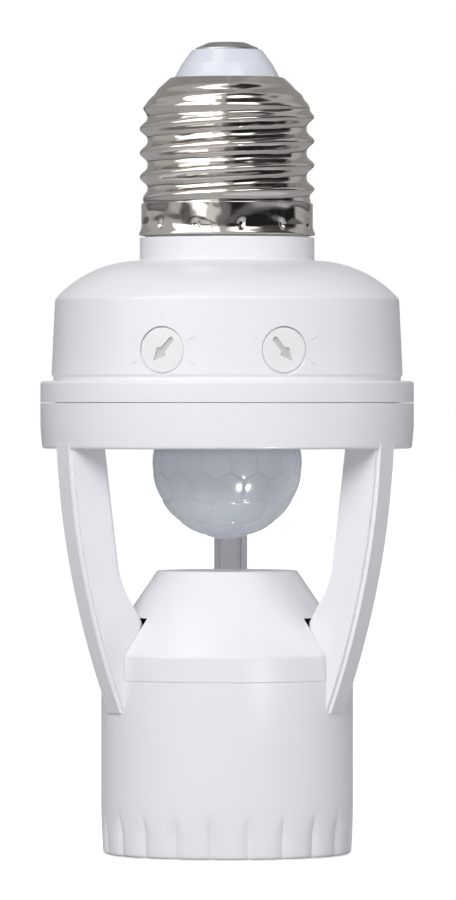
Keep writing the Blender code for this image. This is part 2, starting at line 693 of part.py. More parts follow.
def make_housing(material):
    groove = WALL_FOOT_RADIUS - WALL_GROOVE_DEPTH
    inner_shoulder = shoulder_arc(HOUSING_WALL, 2)
    profile = [
        (RING_BORE - CLEARANCE, SPIGOT_BOTTOM),
        (RING_BORE - CLEARANCE, FLANGE_BOTTOM),
        (RING_RADIUS, FLANGE_BOTTOM),
        *arc((RING_RADIUS - RING_EDGE, FLANGE_TOP - RING_EDGE), RING_EDGE, 0, 90, 1),
        (groove, FLANGE_TOP),
        (groove, FLANGE_TOP + WALL_GROOVE_HEIGHT),
        (WALL_FOOT_RADIUS, FLANGE_TOP + 1.5 * WALL_GROOVE_HEIGHT),
        *shoulder_arc(0, 5),
        (NECK_RADIUS, NECK_TOP),
        (CAP_SPIGOT_RADIUS, NECK_TOP),
        (CAP_SPIGOT_RADIUS, CAP_SPIGOT_TOP),
        (NECK_BORE, CAP_SPIGOT_TOP),
        (NECK_BORE, inner_shoulder[-1][1]),
        *reversed(inner_shoulder[1:]),
        (HOUSING_BORE, inner_shoulder[0][1] - HOUSING_WALL),
        (HOUSING_BORE, SPIGOT_BOTTOM),
    ]
    housing = lathe("upper_housing", profile, material)
    for degrees in SCREW_ANGLES:
        place = polar(SCREW_PLACE, degrees)
        name = "screw_post_" + str(degrees)
        top = WALL_TOP + HOUSING_WALL
        join(housing, cylinder(name, SCREW_POST_RADIUS, SCREW_POST_BOTTOM, top, None, place))
    for degrees in SCREW_ANGLES:
        place = polar(SCREW_PLACE, degrees)
        name = "post_bore_" + str(degrees)
        low = SCREW_POST_BOTTOM - SCREW_PAD_HEIGHT
        top = RING_BOTTOM + SCREW_HEAD_HEIGHT + SCREW_LENGTH + 2 * CLEARANCE
        cut(housing, cylinder(name, SCREW_SHAFT_RADIUS + CLEARANCE, low, top, None, place))
    for side in (-1, 1):
        matrix = facing_out(270 + side * KNOB_ANGLE, WALL_FOOT_RADIUS, KNOB_HEIGHT)
        hole = cylinder("knob_hole_" + str(side), KNOB_RADIUS + CLEARANCE,
                        -2 * HOUSING_WALL, 2 * HOUSING_WALL, None, (0, 0), KNOB_SEGMENTS)
        hole.matrix_world = matrix
        cut(housing, hole)
    return housing


def knob_face():
    """Radius at which a knob's flat face stands, a little inside the wall."""
    return WALL_FOOT_RADIUS - CLEARANCE / 2 - KNOB_RECESS


def arrow_outline():
    """An arrow along +X, centred on the knob."""
    tip = ARROW_LENGTH / 2
    neck = tip - ARROW_HEAD_LENGTH
    half_shaft = ARROW_SHAFT_WIDTH / 2
    half_head = ARROW_HEAD_WIDTH / 2
    return [
        (-tip, -half_shaft),
        (neck, -half_shaft),
        (neck, -half_head),
        (tip, 0),
        (neck, half_head),
        (neck, half_shaft),
        (-tip, half_shaft),
    ]


def make_knob(name, side, arrow_angle, material):
    """A flat disc with an arrow slot, and a square shaft that turns the trimmer behind it."""
    bevel = CLEARANCE / 2
    profile = [
        (0, 0),
        (KNOB_RADIUS - bevel, 0),
        (KNOB_RADIUS, -bevel),
        (KNOB_RADIUS, -KNOB_THICKNESS),
        (KNOB_SHAFT_RADIUS, -KNOB_THICKNESS),
        (KNOB_SHAFT_RADIUS, -KNOB_THICKNESS - KNOB_SHAFT_LENGTH),
        (0, -KNOB_THICKNESS - KNOB_SHAFT_LENGTH),
    ]
    knob = lathe(name, profile, material, KNOB_SEGMENTS)
    arrow = prism(name + "_arrow", arrow_outline(), 2 * ARROW_DEPTH, None)
    place = facing_out(270 + side * KNOB_ANGLE, knob_face(), KNOB_HEIGHT)
    knob.matrix_world = place
    arrow.matrix_world = place @ Matrix.Rotation(math.radians(arrow_angle), 4, "Z")
    cut(knob, arrow)
    return knob


def make_trimmer(name, side, material):
    """A potentiometer that stands on the board, with a round hole for the knob's shaft."""
    front = knob_face() - KNOB_THICKNESS - CLEARANCE
    height = KNOB_HEIGHT + TRIMMER_HALF_HEIGHT - PART_SEAT
    size = (TRIMMER_WIDTH, height, TRIMMER_DEPTH)
    centre = (0, TRIMMER_HALF_HEIGHT - height / 2, -TRIMMER_DEPTH / 2)
    trimmer = block(name, size, centre, material, bevel=CLEARANCE)
    place = facing_out(270 + side * KNOB_ANGLE, front, KNOB_HEIGHT)
    trimmer.matrix_world = place
    depth = KNOB_SHAFT_LENGTH + CLEARANCE
    hole = cylinder(name + "_hole", KNOB_SHAFT_RADIUS + CLEARANCE, -depth, depth)
    hole.matrix_world = place
    cut(trimmer, hole)
    return trimmer


def make_board(material):
    board = cylinder("circuit_board", BOARD_RADIUS, BOARD_BOTTOM, BOARD_TOP, material, (0, 0), SEGMENTS)
    for degrees in SCREW_ANGLES:
        place = polar(SCREW_PLACE, degrees)
        name = "board_notch_" + str(degrees)
        low = BOARD_BOTTOM - BOARD_THICKNESS
        top = BOARD_TOP + BOARD_THICKNESS
        notch = block(name, (BOARD_RADIUS / 2, 2 * SCREW_POST_RADIUS + 2 * CLEARANCE, top - low),
                      (BOARD_RADIUS / 4, 0, 0), None)
        reach = SCREW_PLACE - SCREW_POST_RADIUS - CLEARANCE
        notch.matrix_world = (Matrix.Translation(polar(reach, degrees, (low + top) / 2))
                              @ Matrix.Rotation(math.radians(degrees), 4, "Z"))
        cut(board, notch)
    return board


def seated_block(name, size, place, material, bevel):
    centre = (place[0], place[1], PART_SEAT + size[2] / 2)
    return block(name, size, centre, material, bevel)


def make_smoothing_capacitor(material):
    """An upright can with a rolled groove near its foot."""
    radius = SMOOTHING_CAPACITOR_RADIUS
    height = SMOOTHING_CAPACITOR_HEIGHT
    groove = radius - CLEARANCE
    profile = [
        (0, 0),
        (radius - CLEARANCE, 0),
        (radius, CLEARANCE),
        (radius, 0.10 * height),
        (groove, 0.14 * height),
        (radius, 0.18 * height),
        (radius, height - CLEARANCE),
        (radius - CLEARANCE, height),
        (0, height),
    ]
    can = lathe("smoothing_capacitor", profile, material, SMALL_SEGMENTS)
    can.location = (*SMOOTHING_CAPACITOR_PLACE, PART_SEAT)
    return can


def make_fuse_resistor(material):
    """An axial resistor that lies on the board, thicker at both ends."""
    half = FUSE_LENGTH / 2
    waist = 0.85 * FUSE_RADIUS
    profile = [
        (0, -half),
        (FUSE_RADIUS * 0.7, -half),
        (FUSE_RADIUS, -0.85 * half),
        (FUSE_RADIUS, -0.6 * half),
        (waist, -0.5 * half),
        (waist, 0.5 * half),
        (FUSE_RADIUS, 0.6 * half),
        (FUSE_RADIUS, 0.85 * half),
        (FUSE_RADIUS * 0.7, half),
        (0, half),
    ]
    body = lathe("fuse_resistor", profile, material, SMALL_SEGMENTS)
    body.matrix_world = (Matrix.Translation((*FUSE_PLACE, PART_SEAT + FUSE_RADIUS))
                         @ Matrix.Rotation(math.radians(90), 4, "Y"))
    return body


def make_pir_sensor(material):
    """The sensor's can, open side down, with three pins up through the spacer to the board."""
    can_top = BOARD_BOTTOM - CLEARANCE - spacer_height() - CLEARANCE
    can_bottom = can_top - PIR_HEIGHT
    profile = [
        (0, can_bottom),
        (PIR_RADIUS - CLEARANCE, can_bottom),
        (PIR_RADIUS, can_bottom + CLEARANCE),
        (PIR_RADIUS, can_top - 2 * CLEARANCE),
        (PIR_BASE_RADIUS, can_top - 2 * CLEARANCE),
        (PIR_BASE_RADIUS, can_top),
        (0, can_top),
    ]
    can = lathe("pir_sensor", profile, material, INNER_SEGMENTS)
    for degrees in (0, 90, 180):
        place = polar(PIR_RADIUS / 2, degrees)
        name = "pir_pin_" + str(degrees)
        top = BOARD_BOTTOM - CLEARANCE
        join(can, cylinder(name, PIN_RADIUS, can_top - CLEARANCE, top, None, place, PIN_SEGMENTS))
    window = block("pir_window", (PIR_RADIUS, 0.75 * PIR_RADIUS, 2 * CLEARANCE),
                   (0, 0, can_bottom), None)
    cut(can, window)
    return can


def spacer_height():
    """The spacer brings the sensor's window just above the centre of the dome."""
    window = LENS_CENTRE + PIR_HEIGHT / 2
    return BOARD_BOTTOM - 2 * CLEARANCE - PIR_HEIGHT - window


def make_spacer(material):
    top = BOARD_BOTTOM - CLEARANCE
    bottom = top - spacer_height()
    inner = PIR_BASE_RADIUS - SPACER_WALL
    profile = [
        (PIR_BASE_RADIUS, bottom),
        (PIR_BASE_RADIUS, top),
        (inner, top),
        (inner, bottom),
    ]
    return lathe("sensor_spacer", profile, material, INNER_SEGMENTS)


def make_light_sensor(material):
    """A small round-nosed sensor that looks down past the movement sensor."""
    radius = LIGHT_SENSOR_RADIUS
    nose = BOARD_BOTTOM - CLEARANCE - 2 * LIGHT_SENSOR_HEIGHT + radius
    base = nose + LIGHT_SENSOR_HEIGHT - radius
    profile = [
        *arc((0, nose), radius, -90, 0, 4),
        (radius, base - CLEARANCE),
        (radius + CLEARANCE, base - CLEARANCE),
        (radius + CLEARANCE, base + CLEARANCE),
        (0, base + CLEARANCE),
    ]
    profile[0] = (0, nose - radius)
    body = lathe("light_sensor", profile, material, SMALL_SEGMENTS)
    body.location = (LIGHT_SENSOR_PLACE, 0, 0)
    for side in (-1, 1):
        place = (LIGHT_SENSOR_PLACE, side * radius / 2)
        name = "light_sensor_pin_" + str(side)
        top = BOARD_BOTTOM - CLEARANCE
        join(body, cylinder(name, PIN_RADIUS, base, top, None, place, PIN_SEGMENTS))
    return body


def make_housing_screw(number, degrees, material):
    head_bottom = RING_BOTTOM + CLEARANCE
    return make_screw("housing_screw_" + str(number), polar(SCREW_PLACE, degrees), head_bottom,
                      SCREW_HEAD_RADIUS, SCREW_HEAD_HEIGHT, SCREW_SHAFT_RADIUS, SCREW_LENGTH,
                      material)


def make_screw(name, place, bottom, head_radius, head_height, shaft_radius, length, material):
    """A pan-head screw that points up, with a cross slot in its head."""
    head_top = bottom + head_height
    profile = [
        (0, bottom),
        (0.75 * head_radius, bottom),
        (head_radius, bottom + 0.35 * head_height),
        (head_radius, head_top),
        (shaft_radius, head_top),
        (shaft_radius, head_top + length - shaft_radius),
        (0, head_top + length),
    ]
    screw = lathe(name, profile, material, SMALL_SEGMENTS)
    screw.location = (place[0], place[1], 0)
    for turn in (0, 90):
        slot = block(name + "_slot_" + str(turn), (1.1 * head_radius, 0.22 * head_radius, head_height),
                     (0, 0, 0), None)
        slot.matrix_world = (Matrix.Translation((place[0], place[1], bottom))
                             @ Matrix.Rotation(math.radians(turn), 4, "Z"))
        cut(screw, slot)
    return screw


def make_cap_shell(material):
    """The screw cap's thin shell: rolled mouth, round thread, plain skirt and flared foot."""
    thread_bottom = SHELL_BOTTOM + SHELL_SKIRT_HEIGHT
    thread_top = SHELL_TOP - SHELL_SHOULDER_HEIGHT
    thread_length = thread_top - thread_bottom
    rows = round(thread_length / THREAD_PITCH * THREAD_ROWS)
    dimple_centre = SHELL_BOTTOM + SHELL_FLARE_HEIGHT + DIMPLE_HEIGHT

    def form(radius, height, angle):
        if radius < SHELL_SKIRT_BORE + SHELL_WALL / 2 and height < thread_bottom:
            return radius
        if radius < SHELL_BORE + SHELL_WALL / 2:
            return radius
        if thread_bottom + 1e-6 < height < thread_top - 1e-6:
            turn = (height - SHELL_BOTTOM - THREAD_PHASE) / THREAD_PITCH - angle / (2 * math.pi)
            fade = min(1, (height - thread_bottom) / THREAD_PITCH,
                       (thread_top - height) / THREAD_PITCH + 0.5)
            crest = THREAD_ROOT + (THREAD_CREST - THREAD_ROOT) * wave(turn)
            return crest * fade + radius * (1 - fade)
        away = abs(height - dimple_centre)
        if away < DIMPLE_SIZE / 2:
            beat = math.cos(DIMPLE_COUNT * (angle + math.pi / 2))
            return radius - (DIMPLE_DEPTH if beat > 0.9 else 0)
        return radius

    thread = [(SHELL_SKIRT_RADIUS, thread_bottom + thread_length * row / rows) for row in range(rows)]
    top_radius = THREAD_CREST - (THREAD_CREST - THREAD_ROOT) / 2
    shoulder = bezier((top_radius, thread_top), (THREAD_ROOT, SHELL_TOP - 0.4 * SHELL_SHOULDER_HEIGHT),
                      (SHELL_MOUTH_RADIUS, SHELL_TOP), 4)
    inner_shoulder = offset_line(shoulder, SHELL_WALL)
    inner_mouth = (SHELL_MOUTH_RADIUS - SHELL_WALL, SHELL_TOP - SHELL_WALL)
    profile = [
        (SHELL_FLARE_RADIUS, SHELL_BOTTOM),
        (SHELL_FLARE_RADIUS, SHELL_BOTTOM + SHELL_FLARE_HEIGHT),
        (SHELL_SKIRT_RADIUS, SHELL_BOTTOM + 1.5 * SHELL_FLARE_HEIGHT),
        (SHELL_SKIRT_RADIUS, dimple_centre - DIMPLE_SIZE),
        (SHELL_SKIRT_RADIUS, dimple_centre),
        (SHELL_SKIRT_RADIUS, dimple_centre + DIMPLE_SIZE),
        *thread,
        *shoulder,
        inner_mouth,
        *reversed(inner_shoulder[1:-1]),
        (SHELL_BORE, thread_top),
        (SHELL_BORE, thread_bottom),
        (SHELL_SKIRT_BORE, thread_bottom - SHELL_WALL),
        (SHELL_SKIRT_BORE, SHELL_BOTTOM),
    ]
    return lathe("cap_shell", profile, material, CAP_SEGMENTS, form)


def make_cap_insulator(material):
    """The glassy cone: its foot fills the shell under the rolled mouth."""
    shoulder_base = SHELL_TOP - SHELL_SHOULDER_HEIGHT
    foot = SHELL_BORE - CLEARANCE
    profile = [
        (INSULATOR_BORE, CONE_TOP),
        (CONE_TOP_RADIUS - CLEARANCE, CONE_TOP),
        (CONE_TOP_RADIUS, CONE_TOP - CLEARANCE),
        (0.45 * CONE_TOP_RADIUS + 0.55 * CONE_FOOT_RADIUS, CONE_TOP - CONE_HEIGHT / 2),
        (CONE_FOOT_RADIUS, SHELL_TOP),
        (CONE_FOOT_RADIUS, SHELL_TOP - 2 * SHELL_WALL - CLEARANCE),
        (0.85 * foot, shoulder_base + 0.35 * SHELL_SHOULDER_HEIGHT),
        (foot, shoulder_base - CLEARANCE),
        (foot, shoulder_base - SHELL_SHOULDER_HEIGHT / 2),
        (INSULATOR_BORE, shoulder_base - SHELL_SHOULDER_HEIGHT / 2),
    ]
    return lathe("cap_insulator", profile, material, INNER_SEGMENTS)


def make_cap_contact(material):
    profile = [
        (0, CONTACT_TOP),
        (CONTACT_TOP_RADIUS, CONTACT_TOP),
        (0.5 * (CONTACT_TOP_RADIUS + CONTACT_RADIUS), CONTACT_TOP - 0.3 * CONTACT_HEIGHT),
        (CONTACT_RADIUS, CONTACT_BOTTOM + 0.25 * CONTACT_HEIGHT),
        (CONTACT_RADIUS, CONTACT_BOTTOM),
        (CONTACT_STEM_RADIUS, CONTACT_BOTTOM),
        (CONTACT_STEM_RADIUS, CONTACT_BOTTOM - CONTACT_STEM_LENGTH),
        (0, CONTACT_BOTTOM - CONTACT_STEM_LENGTH),
    ]
    return lathe("cap_contact", profile, material, INNER_SEGMENTS)


def make_socket_cover(material):
    """A hollow cone on a short band, slotted from below so that it drops over the braces."""
    top_edge = (COVER_TOP_RADIUS, COVER_TOP)
    slope = math.atan2(COVER_CONE_HEIGHT, SKIRT_RADIUS - COVER_TOP_RADIUS)
    across = COVER_WALL / math.sin(slope)
    spigot = SKIRT_BORE - CLEARANCE
    profile = [
        (0, COVER_TOP),
        (COVER_TOP_RADIUS - COVER_EDGE, COVER_TOP),
        towards(top_edge, (SKIRT_RADIUS, COVER_BAND_TOP), COVER_EDGE),
        (SKIRT_RADIUS, COVER_BAND_TOP),
        (SKIRT_RADIUS, COVER_BOTTOM),
        (spigot, COVER_BOTTOM),
        (spigot, COVER_BOTTOM - COVER_SPIGOT_DEPTH),
        (BRACE_RADIUS + CLEARANCE / 2, COVER_BOTTOM - COVER_SPIGOT_DEPTH),
        (BRACE_RADIUS + CLEARANCE / 2, COVER_BOTTOM),
        (SKIRT_RADIUS - across, COVER_BAND_TOP),
        (COVER_TOP_RADIUS - across + COVER_WALL / math.tan(slope), COVER_TOP - COVER_WALL),
        (0, COVER_TOP - COVER_WALL),
    ]
    cover = lathe("socket_cover", profile, material)
    for side in (-1, 1):
        place = (side * SOCKET_SCREW_PLACE, 0)
        name = "cover_boss_" + str(side)
        top = COVER_TOP - COVER_WALL / 2
        join(cover, cylinder(name, SOCKET_BOSS_RADIUS, BOSS_BOTTOM, top, None, place))
        name = "cover_boss_bore_" + str(side)
        low = BOSS_BOTTOM - CLEARANCE
        top = SOCKET_CEILING + SOCKET_SCREW_LENGTH + CLEARANCE
        cut(cover, cylinder(name, SOCKET_SCREW_RADIUS + CLEARANCE, low, top, None, place))
    for degrees in LEG_ANGLES:
        low = COVER_BOTTOM - 2 * COVER_SPIGOT_DEPTH
        high = BRACE_HEIGHT + COVER_NOTCH_RISE
        start = SOCKET_SCREW_PLACE + SOCKET_BOSS_RADIUS + 2 * CLEARANCE
        length = 2 * SKIRT_RADIUS - start
        slot = block("cover_slot_" + str(degrees),
                     (length, LEG_THICKNESS + 2 * SLOT_CLEARANCE, high - low),
                     (start + length / 2, 0, (low + high) / 2), None)
        slot.matrix_world = Matrix.Rotation(math.radians(degrees), 4, "Z")
        cut(cover, slot)
    return cover


def make_socket_insert(material):
    """The insulating cup that holds the socket's shell, with a flange that meets the ledge."""
    flange = SKIRT_BORE - CLEARANCE
    profile = [
        (0, SOCKET_TOP),
        (SOCKET_TOP_RADIUS, SOCKET_TOP),
        (SOCKET_BARREL_RADIUS, SOCKET_TOP - SOCKET_CHAMFER_HEIGHT),
        (SOCKET_BARREL_RADIUS, SOCKET_FLANGE_TOP),
        (flange, SOCKET_FLANGE_TOP),
        (flange, SOCKET_FLANGE_TOP - SOCKET_FLANGE_THICKNESS),
        (SOCKET_BARREL_RADIUS, SOCKET_FLANGE_TOP - SOCKET_FLANGE_THICKNESS),
        (SOCKET_BARREL_RADIUS, SOCKET_BOTTOM),
        (SOCKET_LIP_RADIUS, SOCKET_BOTTOM),
        (SOCKET_LIP_RADIUS, SOCKET_BOTTOM + SOCKET_LIP_HEIGHT),
        (SOCKET_BORE, SOCKET_BOTTOM + SOCKET_LIP_HEIGHT),
        (SOCKET_BORE, SOCKET_CEILING),
        (0, SOCKET_CEILING),
    ]
    insert = lathe("socket_insert", profile, material, INNER_SEGMENTS)
    low = SOCKET_CEILING - SOCKET_FLOOR
    top = SOCKET_TOP + SOCKET_FLOOR
    for side in (-1, 1):
        name = "insert_screw_hole_" + str(side)
        place = (side * SOCKET_SCREW_PLACE, 0)
        cut(insert, cylinder(name, SOCKET_SCREW_RADIUS + CLEARANCE, low, top, None, place))
    for name, place in (("insert_contact_hole", (0, TONGUE_ROOT)),
                        ("insert_shell_hole", polar(SHELL_RIVET_PLACE, SHELL_RIVET_ANGLE))):
        cut(insert, cylinder(name, RIVET_RADIUS + CLEARANCE / 2, low, top, None, place))
    return insert


def make_socket_shell(material):
    """The threaded metal shell that takes the lamp, with a flange under the socket's floor."""
    thread_bottom = SOCKET_SHELL_BOTTOM
    thread_top = SOCKET_SHELL_TOP - THREAD_PITCH / 2
    rows = round((thread_top - thread_bottom) / THREAD_PITCH * SOCKET_THREAD_ROWS)

    def form(radius, height, angle):
        inside = SOCKET_SHELL_FLANGE + SHELL_WALL < radius < SOCKET_SHELL_OUTER - SHELL_WALL / 2
        if not inside or height > thread_top + 1e-6:
            return radius
        turn = height / THREAD_PITCH - angle / (2 * math.pi)
        return SOCKET_ROOT + (SOCKET_CREST - SOCKET_ROOT) * wave(turn)

    step = (thread_top - thread_bottom) / rows
    thread = [(SOCKET_CREST, thread_bottom + step * row) for row in range(rows + 1)]
    profile = [
        (SOCKET_SHELL_OUTER, SOCKET_SHELL_TOP),
        (SOCKET_SHELL_OUTER, SOCKET_SHELL_BOTTOM),
        *thread,
        (SOCKET_CREST, SOCKET_SHELL_TOP - SHELL_WALL),
        (SOCKET_SHELL_FLANGE, SOCKET_SHELL_TOP - SHELL_WALL),
        (SOCKET_SHELL_FLANGE, SOCKET_SHELL_TOP),
    ]
    shell = lathe("socket_shell", profile, material, INNER_SEGMENTS, form)
    place = polar(SHELL_RIVET_PLACE, SHELL_RIVET_ANGLE)
    hole = cylinder("shell_rivet_hole", RIVET_RADIUS + CLEARANCE / 2, SOCKET_SHELL_TOP - 4 * SHELL_WALL,
                    SOCKET_SHELL_TOP + SHELL_WALL, None, place)
    cut(shell, hole)
    return shell


def make_centre_contact(material):
    """A springy strip: flat under its rivet, then down to the middle with a curled tip."""
    half = TONGUE_THICKNESS / 2
    middle = TONGUE_TOP - half
    line = [
        (TONGUE_ROOT + TONGUE_TAIL, middle),
        (TONGUE_ROOT - TONGUE_FLAT, middle),
        (TONGUE_ROOT - 0.85 * TONGUE_REACH, middle - TONGUE_DROP),
        (TONGUE_ROOT - TONGUE_REACH, middle - TONGUE_DROP + TONGUE_CURL),
    ]
    outline = offset_line(line, half) + list(reversed(offset_line(line, -half)))
    side_on = Matrix(((0, 0, 1, 0), (1, 0, 0, 0), (0, 1, 0, 0), (0, 0, 0, 1)))
    pivot = Vector((0, TONGUE_ROOT, middle))
    shift = Matrix.Translation(-pivot) @ side_on
    tongue = prism("centre_contact", outline, TONGUE_WIDTH, material, shift)
    tongue.location = pivot
    hole = cylinder("tongue_hole", RIVET_RADIUS + 2 * CLEARANCE, middle - 4 * TONGUE_THICKNESS,
                    middle + 4 * TONGUE_THICKNESS, None, (0, TONGUE_ROOT))
    cut(tongue, hole)
    return tongue


def make_rivet(name, place, head_radius, lower_head_top, material):
    """A rivet through the socket's floor, with a head below what it holds and one above."""
    upper_head = SOCKET_TOP + CLEARANCE
    low = lower_head_top - RIVET_HEAD_HEIGHT
    profile = [
        (0, low),
        (0.7 * head_radius, low),
        (head_radius, low + 0.5 * RIVET_HEAD_HEIGHT),
        (head_radius, lower_head_top),
        (RIVET_RADIUS, lower_head_top),
        (RIVET_RADIUS, upper_head),
        (head_radius, upper_head),
        (head_radius, upper_head + RIVET_HEAD_HEIGHT),
        (0, upper_head + RIVET_HEAD_HEIGHT),
    ]
    rivet = lathe(name, profile, material, SMALL_SEGMENTS)
    rivet.location = (place[0], place[1], 0)
    return rivet


def lamp_lead_route(side, target):
    """From the board down the rear leg's channel, in under the cover and on to a rivet."""
    across = side * LEAD_SPACING / 2
    edge = leg_inner_edge()
    centre = offset_line(edge, LEAD_DEPTH)
    floor_level = SOCKET_TOP + 2 * CLEARANCE + LEAD_RADIUS
    head_level = SOCKET_TOP + 2 * CLEARANCE + RIVET_HEAD_HEIGHT + LEAD_RADIUS
    top = BOARD_BOTTOM - CLEARANCE
    lean = (centre[-2][0] - centre[-1][0]) / (centre[-2][1] - centre[-1][1])
    turn_in = (centre[-1][0] + lean * (floor_level - centre[-1][1]), floor_level)
    inside = BRACE_RADIUS - 2 * LEAD_RADIUS
    entry = LEG_TOP_INNER - LEAD_ENTRY
    route = [(across, entry, top)]
    route.append((across, entry + LEAD_RADIUS, (top + FLOOR_TOP) / 2 + LEAD_RADIUS))
    route.append((across, centre[0][0] - LEAD_RADIUS, FLOOR_TOP + LEAD_RADIUS))
    route += [(across, radius, height) for radius, height in centre[:-2]]
    route.append((across, *turn_in))
    route.append((across, inside, floor_level))
    turn = (across + target[0] / 16, inside - 4 * LEAD_RADIUS)
    route.append((*turn, head_level))
    route.append((0.5 * (turn[0] + target[0]), 0.5 * (turn[1] + target[1]), head_level))
    route.append((target[0], target[1], head_level))
    return route


def make_lamp_leads(live, neutral):
    shell_rivet = polar(SHELL_RIVET_PLACE, SHELL_RIVET_ANGLE)
    tube("lamp_live_lead", lamp_lead_route(-1, (0, TONGUE_ROOT)), LEAD_RADIUS, live)
    tube("lamp_neutral_lead", lamp_lead_route(1, shell_rivet), LEAD_RADIUS, neutral)


def make_cap_leads(live, neutral):
    """From the cap's contact and shell, through the neck, to the board."""
    stem = CONTACT_BOTTOM - CONTACT_STEM_LENGTH - CLEARANCE
    bore = NECK_BORE / 2
    live_route = [
        (0, 0, stem),
        (0, 0, SHELL_TOP - 2 * SHELL_SHOULDER_HEIGHT),
        (-bore / 4, -bore / 4, NECK_TOP),
        (-bore / 2, -bore, WALL_TOP),
        (*CAP_LIVE_PLACE, KNOB_HEIGHT),
        (*CAP_LIVE_PLACE, PART_SEAT),
    ]
    tube("cap_live_lead", live_route, LEAD_RADIUS, live)
    over_spigot = CAP_SPIGOT_TOP + 2 * LEAD_RADIUS + CLEARANCE
    neutral_route = [
        (0, SHELL_BORE - CLEARANCE, over_spigot),
        (0, 1.5 * bore, over_spigot),
        (bore / 2, bore / 2, NECK_TOP),
        (bore, -bore, WALL_TOP),
        (*CAP_NEUTRAL_PLACE, KNOB_HEIGHT),
        (*CAP_NEUTRAL_PLACE, PART_SEAT),
    ]
    tube("cap_neutral_lead", neutral_route, LEAD_RADIUS, neutral)


def build():
    clear_scene()
    white = make_material("white_plastic", (0.86, 0.86, 0.88), 0.3)
    knob_white = make_material("knob_plastic", (0.85, 0.85, 0.85), 0.4)
    nickel = make_material("nickel", (0.72, 0.69, 0.66), 0.15, 1.0)
    contact_metal = make_material("contact_metal", (0.45, 0.46, 0.48), 0.35, 1.0)
    insulator = make_material("insulator", (0.82, 0.84, 0.90), 0.15)
    milky = make_material("lens_plastic", (0.50, 0.54, 0.60), 0.3)
    brass = make_material("brass", (0.72, 0.55, 0.25), 0.3, 1.0)
    steel = make_material("screw_steel", (0.55, 0.55, 0.56), 0.35, 1.0)
    fibre = make_material("board_fibre", (0.05, 0.25, 0.12), 0.5)
    black = make_material("black_plastic", (0.03, 0.03, 0.035), 0.4)
    yellow = make_material("capacitor_yellow", (0.75, 0.55, 0.08), 0.4)
    blue = make_material("relay_blue", (0.05, 0.16, 0.45), 0.4)
    beige = make_material("resistor_body", (0.55, 0.45, 0.30), 0.5)
    red = make_material("lead_red", (0.55, 0.03, 0.03), 0.4)
    blue_lead = make_material("lead_blue", (0.04, 0.08, 0.40), 0.4)

    make_cap_contact(contact_metal)
    make_cap_insulator(insulator)
    make_cap_shell(nickel)
    make_housing(white)
    make_leg_frame(white)
    make_wire_cover(white)
    make_lens(milky)
    make_knob("time_knob", -1, TIME_ARROW_ANGLE, knob_white)
    make_knob("lux_knob", 1, LUX_ARROW_ANGLE, knob_white)
    make_trimmer("time_trimmer", -1, black)
    make_trimmer("lux_trimmer", 1, black)
    make_board(fibre)
    seated_block("relay", RELAY_SIZE, RELAY_PLACE, blue, CLEARANCE)
    seated_block("film_capacitor", FILM_CAPACITOR_SIZE, FILM_CAPACITOR_PLACE, yellow, CLEARANCE)
    seated_block("control_chip", CHIP_SIZE, CHIP_PLACE, black, CLEARANCE)
    make_smoothing_capacitor(black)
    make_fuse_resistor(beige)
    make_pir_sensor(steel)
    make_spacer(black)
    make_light_sensor(black)
    for number, degrees in enumerate(SCREW_ANGLES, 1):
        make_housing_screw(number, degrees, steel)
    make_socket_cover(white)
    make_socket_insert(white)
    make_socket_shell(nickel)
    make_centre_contact(brass)
    tongue_head = TONGUE_TOP - TONGUE_THICKNESS - CLEARANCE
    make_rivet("contact_rivet", (0, TONGUE_ROOT), RIVET_HEAD_RADIUS, tongue_head, brass)
    shell_head = SOCKET_SHELL_TOP - SHELL_WALL - CLEARANCE
    shell_rivet_place = polar(SHELL_RIVET_PLACE, SHELL_RIVET_ANGLE)
    make_rivet("shell_rivet", shell_rivet_place, SHELL_RIVET_HEAD_RADIUS, shell_head, brass)
    for number, side in enumerate((-1, 1), 1):
        bottom = SOCKET_CEILING - CLEARANCE - SOCKET_SCREW_HEAD_HEIGHT
        make_screw("socket_screw_" + str(number), (side * SOCKET_SCREW_PLACE, 0), bottom,
                   SOCKET_SCREW_HEAD, SOCKET_SCREW_HEAD_HEIGHT, SOCKET_SCREW_RADIUS,
                   SOCKET_SCREW_LENGTH, steel)
    make_lamp_leads(red, blue_lead)
    make_cap_leads(red, blue_lead)


build()
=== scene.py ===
import json
import math

import bmesh
import bpy
import numpy as np
from mathutils import Matrix, Vector


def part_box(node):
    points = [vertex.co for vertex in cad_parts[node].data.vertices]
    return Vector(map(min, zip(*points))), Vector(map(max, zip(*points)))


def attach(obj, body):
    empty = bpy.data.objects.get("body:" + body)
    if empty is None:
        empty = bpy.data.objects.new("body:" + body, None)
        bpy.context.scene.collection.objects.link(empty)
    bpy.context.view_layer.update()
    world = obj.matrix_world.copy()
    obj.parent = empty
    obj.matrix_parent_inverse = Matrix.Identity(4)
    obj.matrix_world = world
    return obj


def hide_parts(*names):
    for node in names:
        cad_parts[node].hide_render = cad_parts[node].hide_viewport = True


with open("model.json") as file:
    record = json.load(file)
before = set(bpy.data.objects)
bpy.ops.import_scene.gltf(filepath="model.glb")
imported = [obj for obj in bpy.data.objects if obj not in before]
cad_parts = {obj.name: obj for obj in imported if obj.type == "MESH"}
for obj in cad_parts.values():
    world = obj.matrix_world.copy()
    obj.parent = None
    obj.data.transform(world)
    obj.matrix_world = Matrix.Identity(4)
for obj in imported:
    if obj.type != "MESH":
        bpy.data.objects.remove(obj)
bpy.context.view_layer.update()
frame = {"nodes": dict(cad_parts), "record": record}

MM = 0.001


def reach(node):
    """The radius of a packed round part in mm."""
    return round(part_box(node)[1].x / MM, 2)


def heights(node):
    """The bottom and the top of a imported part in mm."""
    low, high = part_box(node)
    return round(low.z / MM, 2), round(high.z / MM, 2)


